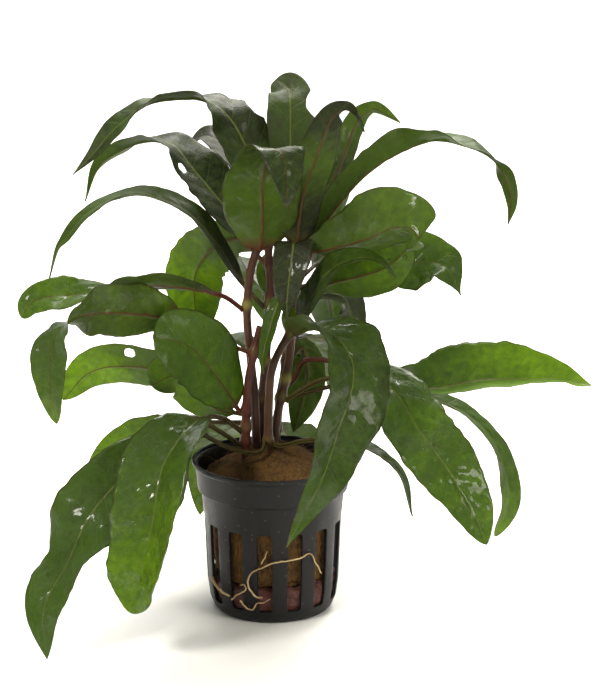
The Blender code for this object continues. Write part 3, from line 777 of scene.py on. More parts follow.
def fibre_line(rng):
    """A short curled fibre that starts on the mound and ends just above it."""
    angle = rng.uniform(0, 2 * math.pi)
    reach = 21.0 * math.sqrt(rng.uniform(0.05, 1.0))
    radii = [radius for radius, _ in reversed(WOOL_RINGS[4:])]
    heights = [height for _, height in reversed(WOOL_RINGS[4:])]
    place = np.array([reach * math.cos(angle), reach * math.sin(angle), np.interp(reach, radii, heights) - 1.2])
    heading = rng.uniform(0, 2 * math.pi)
    climb = rng.uniform(0.05, 0.9)
    line = []
    for step in range(6):
        line.append((place.copy(), FIBRE_RADIUS * (1 - 0.1 * step)))
        heading += rng.uniform(-0.6, 0.6)
        climb -= rng.uniform(0.05, 0.35)
        place = place + np.array([math.cos(heading), math.sin(heading), climb]) * rng.uniform(0.7, 1.3)
    return line


fibre_rng = random.Random(7)
fibres = make_tube("rockwool_fibres", [fibre_line(fibre_rng) for _ in range(FIBRE_COUNT)], 0)
finish_piece(fibres, [], [WOOL])
print(FIBRE_COUNT, "fibres,", len(fibres.data.polygons), "faces")

# %% [markdown]
# ## Stems
#
# A stem is a jointed rod: it swells at each node, where a pair of leaves grows, and is thinner between. Its
# skin is wine red to brown, greener at the nodes. Each stem follows the points of the plain model.

# %% Stem values, in millimetres
STEM_RADIUS = 1.6
STEM_TIP_SHARE = 0.85
STEM_FOOT = 50.0
PLAIN_STEM_FOOT = 40.0
PLAIN_LEAF_START = 2.6
NODE_SWELL = 0.38
NODE_LENGTH = 1.7
STEMS = {
    "stem_left_red": [(-9, -6, 60), (-8.5, -6.5, 74), (-7.3, -7, 84), (-5.3, -6, 93), (-3.7, -5, 99)],
    "stem_left_dark": [(-5.5, -1, 58), (-6, -2, 74), (-7.5, -2, 90), (-8.3, -3, 103), (-7.2, -3, 116),
                       (-4.2, -3, 127)],
    "stem_front_short": [(-1.5, -5, 58), (-1.1, -5, 74), (-0.1, -5.5, 84), (2.9, -5.5, 91.5), (7.2, -6, 98)],
    "stem_middle": [(0.5, 0, 58), (2.2, 0, 70), (4.5, 0, 80), (5.9, 1, 89), (6.9, 0, 103), (6.6, -1, 117),
                    (6.6, -2, 128)],
    "stem_tall": [(-3.5, 4.5, 58), (-3.6, 4.5, 71), (-2.6, 4, 82), (-1.5, 4, 95), (-0.8, 4, 109), (-1.4, 5, 126),
                  (-1.4, 6, 134)],
    "stem_right": [(1, 8.5, 58), (2.4, 9, 70), (4.5, 9, 84), (6.5, 9, 101), (8.5, 8, 118), (9.2, 7, 129)],
}
STEM_REDNESS = {"stem_left_red": 1.0, "stem_left_dark": 0.55, "stem_front_short": 0.3, "stem_middle": 0.35,
                "stem_tall": 0.6, "stem_right": 0.25}


def stem_route(name):
    """The stem's middle line, straight up out of the wool and then through its own points."""
    x, y, _ = STEMS[name][0]
    return np.vstack([[(x, y, PLAIN_STEM_FOOT)], smooth_route(STEMS[name], 12)])


print(len(STEMS), "stems")

# %% [markdown]
# ## The list of leaves
#
# Every leaf is told by a few points along its midrib, in millimetres, from near its stem to its tip. These
# are the same points that the plain model uses. The turns say which way the upper side looks along the way:
# 0 to the front, 90 to the sky, 180 away. Rise and fall shape the outline, stalk is the bare share of the
# length and fold lifts the two halves.

# %% Leaf values
LEAF_START = 0.8
STALK_RISE = 1.8
STALK_HALF_WIDTH = 0.9
TIP_HALF_WIDTH = 0.15
FRONT = (0.0, -0.95, 0.31)


@dataclass
class Leaf:
    """One leaf. Lengths are in millimetres, turns and fold in degrees."""

    name: str
    stem: str
    height: float
    width: float
    route: list
    turns: list
    rise: float = 0.8
    fall: float = 0.8
    stalk: float = 0.1
    fold: object = 10
    facing: str = "front"


LEAVES = [
    Leaf("leaf_top_left_arching", "stem_tall", 133, 19,
         [(-3, 7, 142), (-7, 9, 153), (-12, 12, 163), (-18, 14, 169), (-25, 15, 172), (-36, 16, 171),
          (-44, 15, 168), (-53, 13, 161), (-59, 11, 154), (-66, 9, 147)],
         [30, 20, 15, 25, 60, 80, 80, 60, 35, 25, 25], 0.5, 1.0, 0.05, 8),
    Leaf("leaf_top_left_holed", "stem_tall", 125, 20,
         [(-11, 10, 129), (-17, 12, 137), (-26, 16, 148), (-33, 20, 155), (-43, 24, 156), (-53, 26, 152),
          (-60, 27, 146), (-64, 27, 135)],
         [50, 45, 40, 38, 62, 88, 105, 112, 115], 0.5, 1.1, 0.03, 12),
    Leaf("leaf_left_slender", "stem_tall", 105, 15,
         [(-11, 3, 114), (-19, 1, 127), (-28, -1, 137), (-40, -3, 143), (-50, -5, 142), (-60, -7, 137),
          (-67, -8, 129), (-70, -8, 125), (-73, -8, 115)],
         [60, 58, 60, 62, 66, 72, 60, 45, 60, 60], 0.7, 1.2, 0.1, 10),
    Leaf("leaf_top_folded", "stem_left_dark", 126, 26,
         [(-3, -9, 137), (-3, -17, 148), (-1, -24, 159), (3, -31, 162), (5, -35, 155), (5, -36, 144)],
         [0, 0, 0, 10, 10, 5, 0], 0.45, 0.8, 0.02, 4, "sky"),
    Leaf("leaf_top_upright", "stem_right", 128, 17,
         [(6, 9, 144), (6, 11, 155), (6, 14, 165), (6, 18, 171), (5, 24, 174), (1, 30, 176)],
         [10], 0.35, 0.35, 0.03, 4),
    Leaf("leaf_top_right_curled", "stem_middle", 128, 15,
         [(10, -6, 143), (15, -12, 158), (19, -16, 169), (23, -15, 172), (27, -12, 170), (30, -10, 164)],
         [165, 165, 165, 150, 110, 70, 50], 0.35, 0.9, 0.02),
    Leaf("leaf_top_right_small", "stem_right", 125, 10,
         [(18, 12, 140), (24, 18, 153), (28, 22, 163), (33, 24, 167), (37, 25, 166), (43, 26, 162)],
         [150, 150, 150, 150, 130, 130, 130], 0.7, 0.9, 0.12),
    Leaf("leaf_top_right_arching", "stem_right", 117, 15,
         [(15, 4, 129), (22, 3, 139), (31, 2, 149), (43, 0, 157), (53, -2, 161), (63, -4, 159), (71, -5, 155),
          (76, -6, 148), (78, -6, 140), (77, -6, 133)],
         [100, 100, 100, 100, 100, 82, 60, 75, 130, 150, 150], 0.7, 0.9, 0.05,
         [58, 58, 58, 58, 45, 14, 12, 10, 10, 10, 10]),
    Leaf("leaf_right_rounded", "stem_middle", 124, 27,
         [(17, -8, 125), (29, -15, 130), (38, -21, 135), (44, -26, 136), (47, -29, 133)],
         [110, 143, 143, 143, 143, 143], 0.6, 0.3, 0.08, 35),
    Leaf("leaf_right_nibbled", "stem_right", 104, 18,
         [(18, 5, 111), (27, 2, 114), (37, -2, 118), (45, -7, 126)],
         [120, 145, 150, 150, 150], 0.7, 0.6, 0.15, 8),
    Leaf("leaf_right_pointed", "stem_right", 110, 20,
         [(23, 10, 112), (38, 12, 115), (49, 11, 117), (56, 8, 117), (59, 6, 115), (63, 5, 107)],
         [60, 40, 20, 15, 20, 30, 60], 0.9, 1.1, 0.4, 6),
    Leaf("leaf_right_slender", "stem_middle", 97, 13,
         [(11, -11, 106), (19, -15, 120), (28, -19, 125), (35, -21, 124), (40, -21, 119)],
         [60, 55, 55, 55, 60, 60], 0.5, 0.9, 0.05, 12),
    Leaf("leaf_left_level", "stem_left_dark", 106, 14,
         [(-16, -6, 110), (-26, -10, 113), (-36, -14, 115), (-47, -18, 116), (-58, -21, 114), (-70, -23, 113),
          (-77, -24, 111), (-80, -24, 106)],
         [90, 100, 115, 115, 90, 55, 35, 20, 20], 0.8, 0.5, 0.15, 12),
    Leaf("leaf_left_drooping", "stem_left_red", 91, 19,
         [(-22, -3, 95), (-35, -10, 103), (-48, -24, 108), (-56, -29, 109), (-62, -32, 108), (-67, -34, 104),
          (-70, -36, 97), (-70, -38, 88), (-68, -39, 75)],
         [120, 140, 150, 150, 140, 100, 60, 28, 25, 25], 0.35, 0.65, 0.28, 8),
    Leaf("leaf_left_broad", "stem_left_red", 71, 26,
         [(-15, -9, 78), (-20, -12, 86), (-25, -15, 93), (-31, -18, 97), (-38, -21, 99)],
         [25, 25, 20, 15, 15, 15], 0.6, 0.4, 0.08, 4),
    Leaf("leaf_left_backlit", "stem_tall", 72, 17,
         [(-20, 16, 74), (-38, 30, 75), (-54, 36, 75), (-66, 40, 71), (-75, 42, 61)],
         [110, 140, 145, 145, 150, 150], 0.8, 0.6, 0.25, 8),
    Leaf("leaf_left_short", "stem_tall", 66, 19,
         [(-18, 8, 67), (-26, 12, 72), (-33, 15, 77), (-42, 17, 73)],
         [110, 140, 150, 150, 150], 0.8, 0.5, 0.2, 8),
    Leaf("leaf_left_behind", "stem_tall", 118, 21,
         [(-11, 16, 124), (-21, 28, 118), (-27, 38, 108), (-28, 43, 97), (-27, 45, 86)],
         [150, 160, 170, 170, 170, 170], 0.6, 0.35, 0.12, 8),
    Leaf("leaf_low_left_rear", "stem_tall", 63, 15,
         [(-23, 14, 61), (-38, 22, 55), (-50, 26, 50), (-59, 28, 44), (-65, 29, 36)],
         [100, 120, 140, 150, 150, 150], 0.8, 0.7, 0.25, 8),
    Leaf("leaf_low_left_long", "stem_left_red", 60, 25,
         [(-17, -11, 65), (-22, -15, 68), (-34, -22, 65), (-46, -31, 57), (-57, -40, 46), (-65, -47, 32),
          (-72, -54, 18), (-71, -58, 3)],
         [80, 60, 50, 30, 15, 15, 50, 25, 25], 0.8, 0.9, 0.2, 8),
    Leaf("leaf_low_left_glossy", "stem_left_red", 65, 29,
         [(-16, -12, 70), (-22, -20, 72), (-29, -33, 69), (-34, -43, 63), (-36, -49, 55), (-39, -54, 40),
          (-44, -57, 18)],
         [80, 70, 50, 32, 30, 30, 30, 25], 0.6, 0.55, 0.22, 28),
    Leaf("leaf_low_left_hidden", "stem_front_short", 60, 15,
         [(-5, -12, 58), (-14, -16, 61), (-23, -16, 65), (-29, -14, 60), (-33, -11, 49), (-35, -7, 34)],
         [90, 80, 60, 60, 40, 30, 20], 0.8, 0.8, 0.4, 8),
    Leaf("leaf_front_hanging", "stem_front_short", 98, 28,
         [(15, -19, 102), (22, -31, 101), (26, -40, 95), (25, -46, 86), (22, -50, 78), (16, -53, 61), (5, -54, 39)],
         [0, -5, -12, -20, -22, -22, -22, -15], 0.42, 1.0, 0.02, 20, "sky"),
    Leaf("leaf_right_long_level", "stem_middle", 80, 28,
         [(11, 3, 86), (26, 8, 83), (43, 11, 75), (54, 12, 73), (71, 12, 76), (92, 11, 77), (108, 9, 75)],
         [90, 70, 50, 45, 45, 45, 45, 45], 0.75, 0.95, 0.35, 35),
    Leaf("leaf_low_right_glossy", "stem_middle", 74, 23,
         [(17, -7, 82), (33, -16, 85), (41, -24, 80), (48, -31, 70), (56, -37, 60), (64, -41, 48), (69, -43, 36)],
         [90, 70, 45, 25, 20, 20, 20, 20], 0.7, 0.7, 0.25, 8),
    Leaf("leaf_low_right_slender", "stem_right", 71, 14,
         [(23, 12, 75), (44, 18, 73), (55, 21, 68), (67, 23, 62), (75, 23, 54), (80, 22, 42), (82, 19, 30),
          (77, 15, 19)],
         [90, 75, 70, 68, 66, 64, 60, 55, 50], 0.8, 0.5, 0.3),
    Leaf("leaf_low_right_thin", "stem_front_short", 60, 9,
         [(3, -10, 60), (12, -17, 64), (24, -22, 65), (33, -25, 62), (42, -28, 54), (46, -29, 41)],
         [90, 85, 80, 75, 70, 70, 70], 0.8, 1.0, 0.35),
    Leaf("leaf_right_shaded", "stem_right", 84, 14,
         [(10, 17, 86), (12, 22, 76), (10, 23, 66), (7, 21, 55)],
         [150, 160, 170, 170, 170], 0.8, 0.9, 0.12, 8),
    Leaf("leaf_right_behind", "stem_right", 103, 14,
         [(18, 18, 105), (25, 26, 101), (28, 30, 89), (27, 31, 76)],
         [60, 40, 30, 30, 30], 0.45, 0.8, 0.06, 8),
    Leaf("leaf_center_hanging", "stem_middle", 126, 13,
         [(7, -12, 128), (6, -17, 120), (5, -18, 111), (5, -18, 104)],
         [0], 0.4, 0.9, 0.03, 10, "sky"),
    Leaf("leaf_center_narrow", "stem_middle", 109, 6.5,
         [(2, -9, 108), (-1, -12, 99), (-3, -12, 90), (-3, -11, 84)],
         [0], 0.6, 1.0, 0.1, 10, "sky"),
    Leaf("leaf_center_young", "stem_tall", 107, 7,
         [(-2, 9, 113), (-2, 12, 120)],
         [0], 0.9, 0.8, 0.1, 10, "sky"),
    Leaf("leaf_center_pale", "stem_front_short", 97, 5,
         [(5, -10, 102), (7, -13, 107)],
         [0], 0.8, 0.8, 0.1, 10, "sky"),
    Leaf("leaf_top_left_rear", "stem_tall", 131, 15,
         [(-6, 22, 142), (-14, 33, 151), (-23, 41, 155), (-29, 46, 151), (-34, 48, 145)],
         [40, 40, 40, 50, 70, 80], 0.8, 0.8, 0.12),
    Leaf("leaf_back_top_left", "stem_tall", 127, 18,
         [(-4, 20, 135), (-8, 36, 144), (-12, 50, 147), (-14, 64, 141), (-16, 74, 130)],
         [0], stalk=0.15, facing="sky"),
    Leaf("leaf_back_top_right", "stem_right", 123, 18,
         [(12, 22, 133), (16, 38, 140), (19, 54, 139), (21, 68, 130), (21, 77, 118)],
         [0], stalk=0.15, facing="sky"),
    Leaf("leaf_back_top_small", "stem_right", 127, 15,
         [(3, 20, 140), (3, 34, 152), (3, 47, 156), (4, 60, 149)],
         [0], stalk=0.15, facing="sky"),
    Leaf("leaf_back_middle", "stem_tall", 103, 20,
         [(-2, 20, 106), (-3, 38, 110), (-4, 56, 108), (-4, 70, 96), (-4, 79, 81)],
         [0], stalk=0.15, facing="sky"),
    Leaf("leaf_back_right_high", "stem_right", 112, 17,
         [(18, 24, 117), (27, 40, 118), (35, 54, 116), (40, 66, 106)],
         [0], stalk=0.15, facing="sky"),
    Leaf("leaf_back_right_middle", "stem_right", 92, 19,
         [(11, 24, 99), (16, 42, 101), (19, 58, 96), (21, 70, 83), (22, 77, 67)],
         [0], stalk=0.15, facing="sky"),
    Leaf("leaf_back_right_low", "stem_right", 88, 19,
         [(9, 26, 88), (16, 44, 84), (21, 60, 75), (25, 70, 59), (27, 74, 40)],
         [0], stalk=0.15, facing="sky"),
    Leaf("leaf_back_left_middle", "stem_tall", 85, 19,
         [(-10, 22, 86), (-17, 38, 85), (-22, 54, 78), (-26, 66, 65), (-28, 72, 52)],
         [0], stalk=0.15, facing="sky"),
    Leaf("leaf_back_left_low", "stem_tall", 61, 20,
         [(-9, 22, 59), (-15, 38, 53), (-21, 52, 43), (-25, 62, 27), (-28, 66, 10)],
         [0], stalk=0.15, facing="sky"),
    Leaf("leaf_back_low", "stem_right", 61, 21,
         [(2, 26, 57), (5, 44, 48), (10, 58, 31), (12, 66, 10)],
         [0], stalk=0.15, facing="sky"),
]
print(len(LEAVES), "leaves")

# %% [markdown]
# ## What each leaf has lived through
#
# No two leaves look alike. The old ones at the top are dark, some of them purplish, the young ones are bright,
# and leaves that were under water shortly before still shine. The tones of some leaves also paint the shade or
# the backlit brightness on them, and the purple also paints a grey sheen. Snails have bitten some margins and
# made holes.
# A place on a leaf is told in millimetres: how far along its midrib and how far to its right.

# %% Leaf finishes by name


@dataclass
class Finish:
    """Tones run from stalk to tip; on some leaves they paint shade or backlit brightness, and purple also paints a
    grey sheen. A bite is (along, side, share of the half width, half its length).
    """

    tones: list
    wet: float = 0.2
    purple: float = 0.0
    red: float = 0.1
    bites: list = field(default_factory=list)
    holes: list = field(default_factory=list)


FINISHES = {
    "leaf_top_left_arching": Finish([0.15, 0.2, 0.15, 0.3, 0.3, 0.2], purple=0.2, bites=[(37, 1, 0.25, 3), (44, 1, 0.15, 2)]),
    "leaf_top_left_holed": Finish([0.1, 0.12, 0.1, 0.15, 0.4, 0.55], wet=0.1, bites=[(33, -1, 0.12, 2), (27, -1, 0.1, 2), (50, -1, 0.3, 6)],
                                  holes=[(38.4, -5.3, 1.1)]),
    "leaf_left_slender": Finish([0.1, 0.1, 0.3, 0.4, 0.4], purple=0.15, wet=0.1),
    "leaf_top_folded": Finish([0.5, 0.55, 0.5, 0.25, 0.15, 0.2], wet=0.7, red=1.0),
    "leaf_top_upright": Finish([0.2, 0.35, 0.4], purple=0.5, wet=0.0, bites=[(47, 1, 0.35, 5), (33, -1, 0.12, 5)]),
    # Low tones at the stalk end paint the shade on the lower part of this blade.
    "leaf_top_right_curled": Finish([0.0, 0.05, 0.3, 0.42, 0.12, 0.0, 0.0], purple=0.1),
    "leaf_top_right_small": Finish([0.15, 0.2, 0.35, 0.5, 0.6]),
    "leaf_top_right_arching": Finish([0.3, 0.5, 0.5, 0.4, 0.35, 0.45], purple=0.1, red=0.9),
    "leaf_right_rounded": Finish([0.35, 0.5, 0.6, 0.62], wet=0.5, red=0.8),
    "leaf_right_nibbled": Finish([0.3, 0.5, 0.62, 0.6], holes=[(39.2, 1.5, 0.45), (43.2, -1.7, 0.75)]),
    "leaf_right_pointed": Finish([0.3, 0.5, 0.62, 0.45], purple=0.1, wet=0.3),
    "leaf_right_slender": Finish([0.2, 0.28, 0.35]),
    "leaf_left_level": Finish([0.05, 0.15, 0.4, 0.6, 0.7, 0.65], wet=0.6, red=0.9),
    "leaf_left_drooping": Finish([0.4, 0.5, 0.65, 0.6, 0.5, 0.55, 0.75], wet=0.5, purple=0.1, red=0.7),
    "leaf_left_broad": Finish([0.62, 0.6, 0.58, 0.55], red=0.9),
    # Lower tones towards the stalk paint the shade on the inner part of this blade.
    "leaf_left_backlit": Finish([0.3, 0.32, 0.45, 0.75, 0.85], holes=[(56.5, -4.6, 1.3)]),
    "leaf_left_short": Finish([0.6, 0.72, 0.82, 0.62]),
    "leaf_left_behind": Finish([0.3, 0.6, 0.75, 0.7], red=0.6),
    "leaf_low_left_rear": Finish([0.4, 0.6, 0.78, 0.78]),
    "leaf_low_left_long": Finish([0.3, 0.4, 0.42, 0.45, 0.58], wet=0.5),
    "leaf_low_left_glossy": Finish([0.3, 0.3, 0.55, 0.75, 0.8], wet=1.0),
    "leaf_low_left_hidden": Finish([0.3, 0.3, 0.5]),
    "leaf_front_hanging": Finish([0.5, 0.36, 0.27, 0.33, 0.52], wet=0.6),
    # Tones rising to the tip paint a darker shaded base and a brighter backlit tip.
    "leaf_right_long_level": Finish([0.2, 0.32, 0.57, 0.76, 0.82], red=0.8),
    "leaf_low_right_glossy": Finish([0.55, 0.6, 0.6, 0.65], wet=0.9),
    "leaf_low_right_slender": Finish([0.3, 0.45, 0.5, 0.75]),
    "leaf_low_right_thin": Finish([0.3, 0.35]),
    "leaf_right_shaded": Finish([0.35, 0.45]),
    "leaf_right_behind": Finish([0.3, 0.35], purple=0.5),
    "leaf_center_hanging": Finish([0.05, 0.1, 0.2], purple=0.35, wet=0.4),
    "leaf_center_narrow": Finish([0.4, 0.5]),
    "leaf_center_young": Finish([0.5, 0.7]),
    "leaf_center_pale": Finish([0.7, 0.95]),
    # The darkest tones paint the shade this leaf stands in.
    "leaf_top_left_rear": Finish([0.0, 0.05], purple=0.4, wet=0.0),
    "leaf_back_top_left": Finish([0.2, 0.3], purple=0.2),
    "leaf_back_top_right": Finish([0.2, 0.3, 0.4], wet=0.4),
    "leaf_back_top_small": Finish([0.1, 0.2], purple=0.5),
    "leaf_back_middle": Finish([0.3, 0.4, 0.5], wet=0.5),
    "leaf_back_right_high": Finish([0.3, 0.4], purple=0.2),
    "leaf_back_right_middle": Finish([0.3, 0.4, 0.5]),
    "leaf_back_right_low": Finish([0.4, 0.6, 0.7], wet=0.6),
    "leaf_back_left_middle": Finish([0.3, 0.5, 0.6]),
    "leaf_back_left_low": Finish([0.4, 0.6, 0.7], wet=0.5),
    "leaf_back_low": Finish([0.4, 0.5, 0.6], wet=0.3),
}
print(sum(len(finish.holes) + len(finish.bites) for finish in FINISHES.values()), "bites and holes")

# %% Make the stems
GREEN_NODES = {
    "stem_left_red": [(65, 0.2), (91, 0.2)],
    "stem_left_dark": [(106, 1.0), (126, 0.2)],
    "stem_front_short": [(60, 0.2), (98, 0.9)],
    "stem_middle": [(74, 0.3), (80, 1.0), (109, 0.4)],
    "stem_tall": [(72, 0.3), (85, 0.8), (105, 0.4)],
    "stem_right": [(71, 0.3), (88, 0.8), (112, 0.4)],
}


def stem_line(name):
    """Places and radii every 0.8 mm: a swelling at each node and a faint unevenness between."""
    route = stem_route(name)
    nodes = [leaf.height for leaf in LEAVES if leaf.stem == name]
    bottom, top = STEMS[name][0][2], STEMS[name][-1][2]
    line = []
    for height in np.arange(STEM_FOOT, top + 0.01, 0.8):
        place = [np.interp(height, route[:, 2], route[:, axis]) for axis in range(3)]
        share = np.interp(height, [bottom, top], [1.0, STEM_TIP_SHARE])
        swell = max(math.exp(-((height - node + 0.6) / NODE_LENGTH) ** 2) for node in nodes)
        uneven = 0.05 * noise.noise(Vector((height * 0.25, len(name), 0.0)))
        line.append((place, STEM_RADIUS * (share * (0.94 + NODE_SWELL * swell) + uneven)))
    return line


def store_point_values(piece, **values):
    """Keeps named numbers on the points of a piece for its materials to read."""
    for name, numbers in values.items():
        kept = piece.data.attributes.new(name, "FLOAT", "POINT")
        kept.data.foreach_set("value", np.asarray(numbers, np.float32))


def stem_material():
    material, tree, shader = new_material("stem_skin_red")
    place = object_place(tree)
    stretched = add_node(tree, "ShaderNodeMapping", Vector=place, Scale=(1.0, 1.0, 0.15))
    streaks = place_group(tree, BLOTCHES, Place=stretched.outputs[0], Size=900.0, Contrast=0.25).outputs["Mask"]
    broad = place_group(tree, BLOTCHES, Place=place, Size=90.0, Contrast=0.25).outputs["Mask"]
    redness, at_node = read_attribute(tree, "redness"), read_attribute(tree, "at_node")
    plain = blend_colors(tree, broad, (0.034, 0.020, 0.008), (0.064, 0.037, 0.012))
    red = blend_colors(tree, broad, (0.038, 0.010, 0.006), (0.076, 0.016, 0.009))
    color = blend_colors(tree, redness, plain, red)
    color = blend_colors(tree, calculate(tree, "MULTIPLY", streaks, 0.35), color, (0.028, 0.014, 0.008))
    color = blend_colors(tree, calculate(tree, "MULTIPLY", at_node, 0.8), color, (0.17, 0.16, 0.035))
    tree.links.new(color, shader.inputs["Base Color"])
    shader.inputs["Specular IOR Level"].default_value = 0.2
    tree.links.new(remap(tree, streaks, 0.0, 1.0, 0.34, 0.52), shader.inputs["Roughness"])
    bump = add_node(tree, "ShaderNodeBump", Strength=0.3, Distance=0.0002, Height=streaks)
    tree.links.new(bump.outputs[0], shader.inputs["Normal"])
    return material


STEM_SKIN = stem_material()
for stem_name in STEMS:
    stem = make_tube(stem_name + "_skin", [stem_line(stem_name)], 4)
    point_heights = [point.co.z / MM for point in stem.data.vertices]
    at_node = [max(share * math.exp(-((z - node) / 1.5) ** 2) for node, share in GREEN_NODES[stem_name])
               for z in point_heights]
    store_point_values(stem, redness=[STEM_REDNESS[stem_name]] * len(point_heights), at_node=at_node)
    finish_piece(stem, [stem_name], [STEM_SKIN])
print("stems from", STEM_FOOT, "mm up")

# %% [markdown]
# ## How a leaf is bent
#
# A blade could be made from a flat grid and a Curve modifier, but that modifier flips a leaf over where it
# hangs straight down. So the grid is laid along the midrib in code. Each point of the grid is set out square
# from the midrib, and its upper side is turned as the list says.

# %% Frame along a midrib


def point_on_stem(name, height):
    route = stem_route(name)
    return np.array([np.interp(height, route[:, 2], route[:, axis]) for axis in range(3)])


def leaf_controls(leaf):
    """The midrib's points, with one low inside the stem and the one where the plain leaf starts."""
    start = point_on_stem(leaf.stem, leaf.height)
    away = np.array(leaf.route[0], float) - start
    away[2] = 0.0
    away = unit(away)
    inside = start + away * LEAF_START
    inside[2] -= STALK_RISE
    return np.vstack([[inside], [start + away * PLAIN_LEAF_START], leaf.route])


def upright_normals(tangents):
    normals = []
    carried = np.array([0.0, 0.0, 1.0])
    for tangent in tangents:
        carried = unit(carried - carried.dot(tangent) * tangent)
        normals.append(carried)
    return np.array(normals)


def eased(values, marks, places):
    """Values that rest at each mark and change smoothly in between."""
    span = np.clip(np.searchsorted(marks, places, side="right") - 1, 0, len(marks) - 2)
    part = (places - marks[span]) / (marks[span + 1] - marks[span])
    part = part * part * (3 - 2 * part)
    return values[span] * (1 - part) + values[span + 1] * part


def spread_values(values, count):
    """As many values as the midrib has points, with the first one twice."""
    values = np.resize(np.asarray(values, float), count - 1)
    return np.concatenate([values[:1], values])


def leaf_length(leaf):
    return np.linalg.norm(np.diff(smooth_route(leaf_controls(leaf), 10), axis=0), axis=1).sum()


def leaf_frame(leaf, shares):
    """Middle points, side directions, upper-side normals and folds at these shares of the length."""
    steps = 10
    control = leaf_controls(leaf)
    route = smooth_route(control, steps)
    along = np.concatenate([[0.0], np.cumsum(np.linalg.norm(np.diff(route, axis=0), axis=1))])
    along = along / along[-1]
    tangents = unit(np.gradient(route, axis=0))
    turns = spread_values(leaf.turns, len(control))
    if leaf.facing == "sky":
        normals = upright_normals(tangents)
    else:
        front = np.array(FRONT)
        normals = unit(front - (tangents @ front)[:, None] * tangents)
        turns = turns * (-1 if leaf.route[-1][0] > control[1][0] else 1)
    middle, tangent, normal = (
        np.stack([np.interp(shares, along, rows[:, axis]) for axis in range(3)], axis=1)
        for rows in (route, tangents, normals))
    tangent = unit(tangent)
    normal = unit(normal - (normal * tangent).sum(axis=1)[:, None] * tangent)
    marks = along[::steps]
    turn = np.radians(eased(turns, marks, shares))[:, None]
    normal = normal * np.cos(turn) + np.cross(tangent, normal) * np.sin(turn)
    fold = np.radians(eased(spread_values(leaf.fold, len(control)), marks, shares))
    return middle, np.cross(tangent, normal), normal, fold

# %% [markdown]
# ## The living surface of a blade
#
# A real blade is never flat: it is pressed up between its side veins, its margin waves, and the whole leaf is
# a little uneven. Those shapes are moved into the mesh and not painted, because they show in its outline and
# in its highlights. Its thickness comes last, from a Solidify modifier that is strongest along the midrib and
# in the stalk, so that the midrib stands out below as a rounded rib.

# %% Outline of a blade
ROW_SPACING = 0.85
FINER_TO_TIP = 1.5
FLAT_TIP = 0.12
COLUMNS = 26
TIGHTER_NEAR_RIB = 1.35


def half_widths(leaf, shares):
    """Half the width of the even blade, and how far along the blade without its stalk each share lies."""
    blade = np.clip((shares - leaf.stalk) / (1 - leaf.stalk), 0, 1)
    widest = leaf.rise / (leaf.rise + leaf.fall)
    width = leaf.width / 2 * (blade / widest) ** leaf.rise * ((1 - blade) / (1 - widest)) ** leaf.fall
    least = STALK_HALF_WIDTH * (1 - 0.55 * shares)
    least = np.where(shares < 0.97, least, np.interp(shares, [0.97, 1.0], [least.min(), TIP_HALF_WIDTH]))
    return np.maximum(width, least), blade


def vary(places, scale, seed):
    """Soft random numbers, about -1 to 1, that change smoothly along the places."""
    return np.array([2.0 * noise.noise(Vector((place * scale, seed, 0.3))) for place in places])


def margin_shares(finish, row_places, full, seed, side):
    """How far out one margin lies at each row, as a share of the even half width."""
    margin = 1 + full * (0.07 * vary(row_places, 0.06, seed + side) + 0.03 * vary(row_places, 0.33, seed - side))
    for place, bitten_side, depth, reach in finish.bites:
        if bitten_side == side:
            margin = margin - depth * np.clip(1 - ((row_places - place) / reach) ** 2, 0, 1) ** 0.8
    return np.clip(margin, 0.08, 4.0)


def open_holes(holes, along, across):
    """Pushes the points away from each hole's middle and tells which points have to go."""
    gone = []
    for place, out, radius in holes:
        offset = np.stack([along - place, across - out], axis=1)
        away = np.maximum(np.linalg.norm(offset, axis=1), 1e-6)
        gone.append(int(np.argmin(away)))
        reach = radius * 2.8
        pushed = np.where(away < reach, radius + away * (reach - radius) / reach, away)
        offset = offset * (pushed / away)[:, None]
        along, across = place + offset[:, 0], out + offset[:, 1]
    return along, across, gone


# %% Relief of a blade
QUILT_HEIGHT = 0.22
CRINKLE_HEIGHT = 0.16
UNEVEN_HEIGHT = 1.1
WAVE_SHARE = 0.05
GROOVE_DEPTH = 0.22


def vein_phase(along, across):
    """Counts the side veins: a whole number lies on a vein, a half lies between two."""
    out = np.abs(across)
    lean = VEIN_SLANT * out + VEIN_BEND * out * out
    return (along + 1.0 - lean) / VEIN_SPACING + 0.5 * (across > 0)


def surface_noise(along, across, scale, seed):
    return np.array([2.0 * noise.noise(Vector((a * scale, c * scale * 1.3, seed)))
                     for a, c in zip(along, across)])


def relief(leaf, finish, along, across, out, full, row, row_places, seed):
    """How far each point stands up from the evenly folded blade."""
    waves = np.where(across > 0, vary(row_places, 0.075, seed + 20)[row], vary(row_places, 0.075, seed + 40)[row])
    wave = waves * WAVE_SHARE * leaf.width * out**3
    inner = np.clip(out * 6, 0, 1) * np.clip(1 - out, 0, 1) ** 0.6
    quilt = -np.cos(2 * math.pi * vein_phase(along, across)) * QUILT_HEIGHT * (0.6 + 0.6 * finish.wet) * inner
    crinkle = surface_noise(along, across, 0.5, seed + 2) * CRINKLE_HEIGHT * (0.35 + finish.wet)
    uneven = surface_noise(along, across, 0.05, seed) * UNEVEN_HEIGHT * 0.5
    groove = -GROOVE_DEPTH * np.exp(-(across / 0.8) ** 2)
    return (wave + quilt + crinkle + uneven + groove) * full


# %% Thickness of a blade
BLADE_THICKNESS = 0.28
RIB_THICKNESS = 0.95
RIB_HALF_WIDTH = 0.5
STALK_THICKNESS = 1.6


def thickness_shares(across, out, blade, stalk):
    rib = np.exp(-(across / RIB_HALF_WIDTH) ** 2) * (1 - 0.8 * blade)
    thickness = BLADE_THICKNESS * (1 - 0.5 * out**4) + RIB_THICKNESS * rib
    round_stalk = STALK_THICKNESS * np.sqrt(np.clip(1 - out**2, 0.04, 1))
    return np.clip((thickness * (1 - stalk) + round_stalk * stalk) / STALK_THICKNESS, 0, 1)


# %% Make one leaf


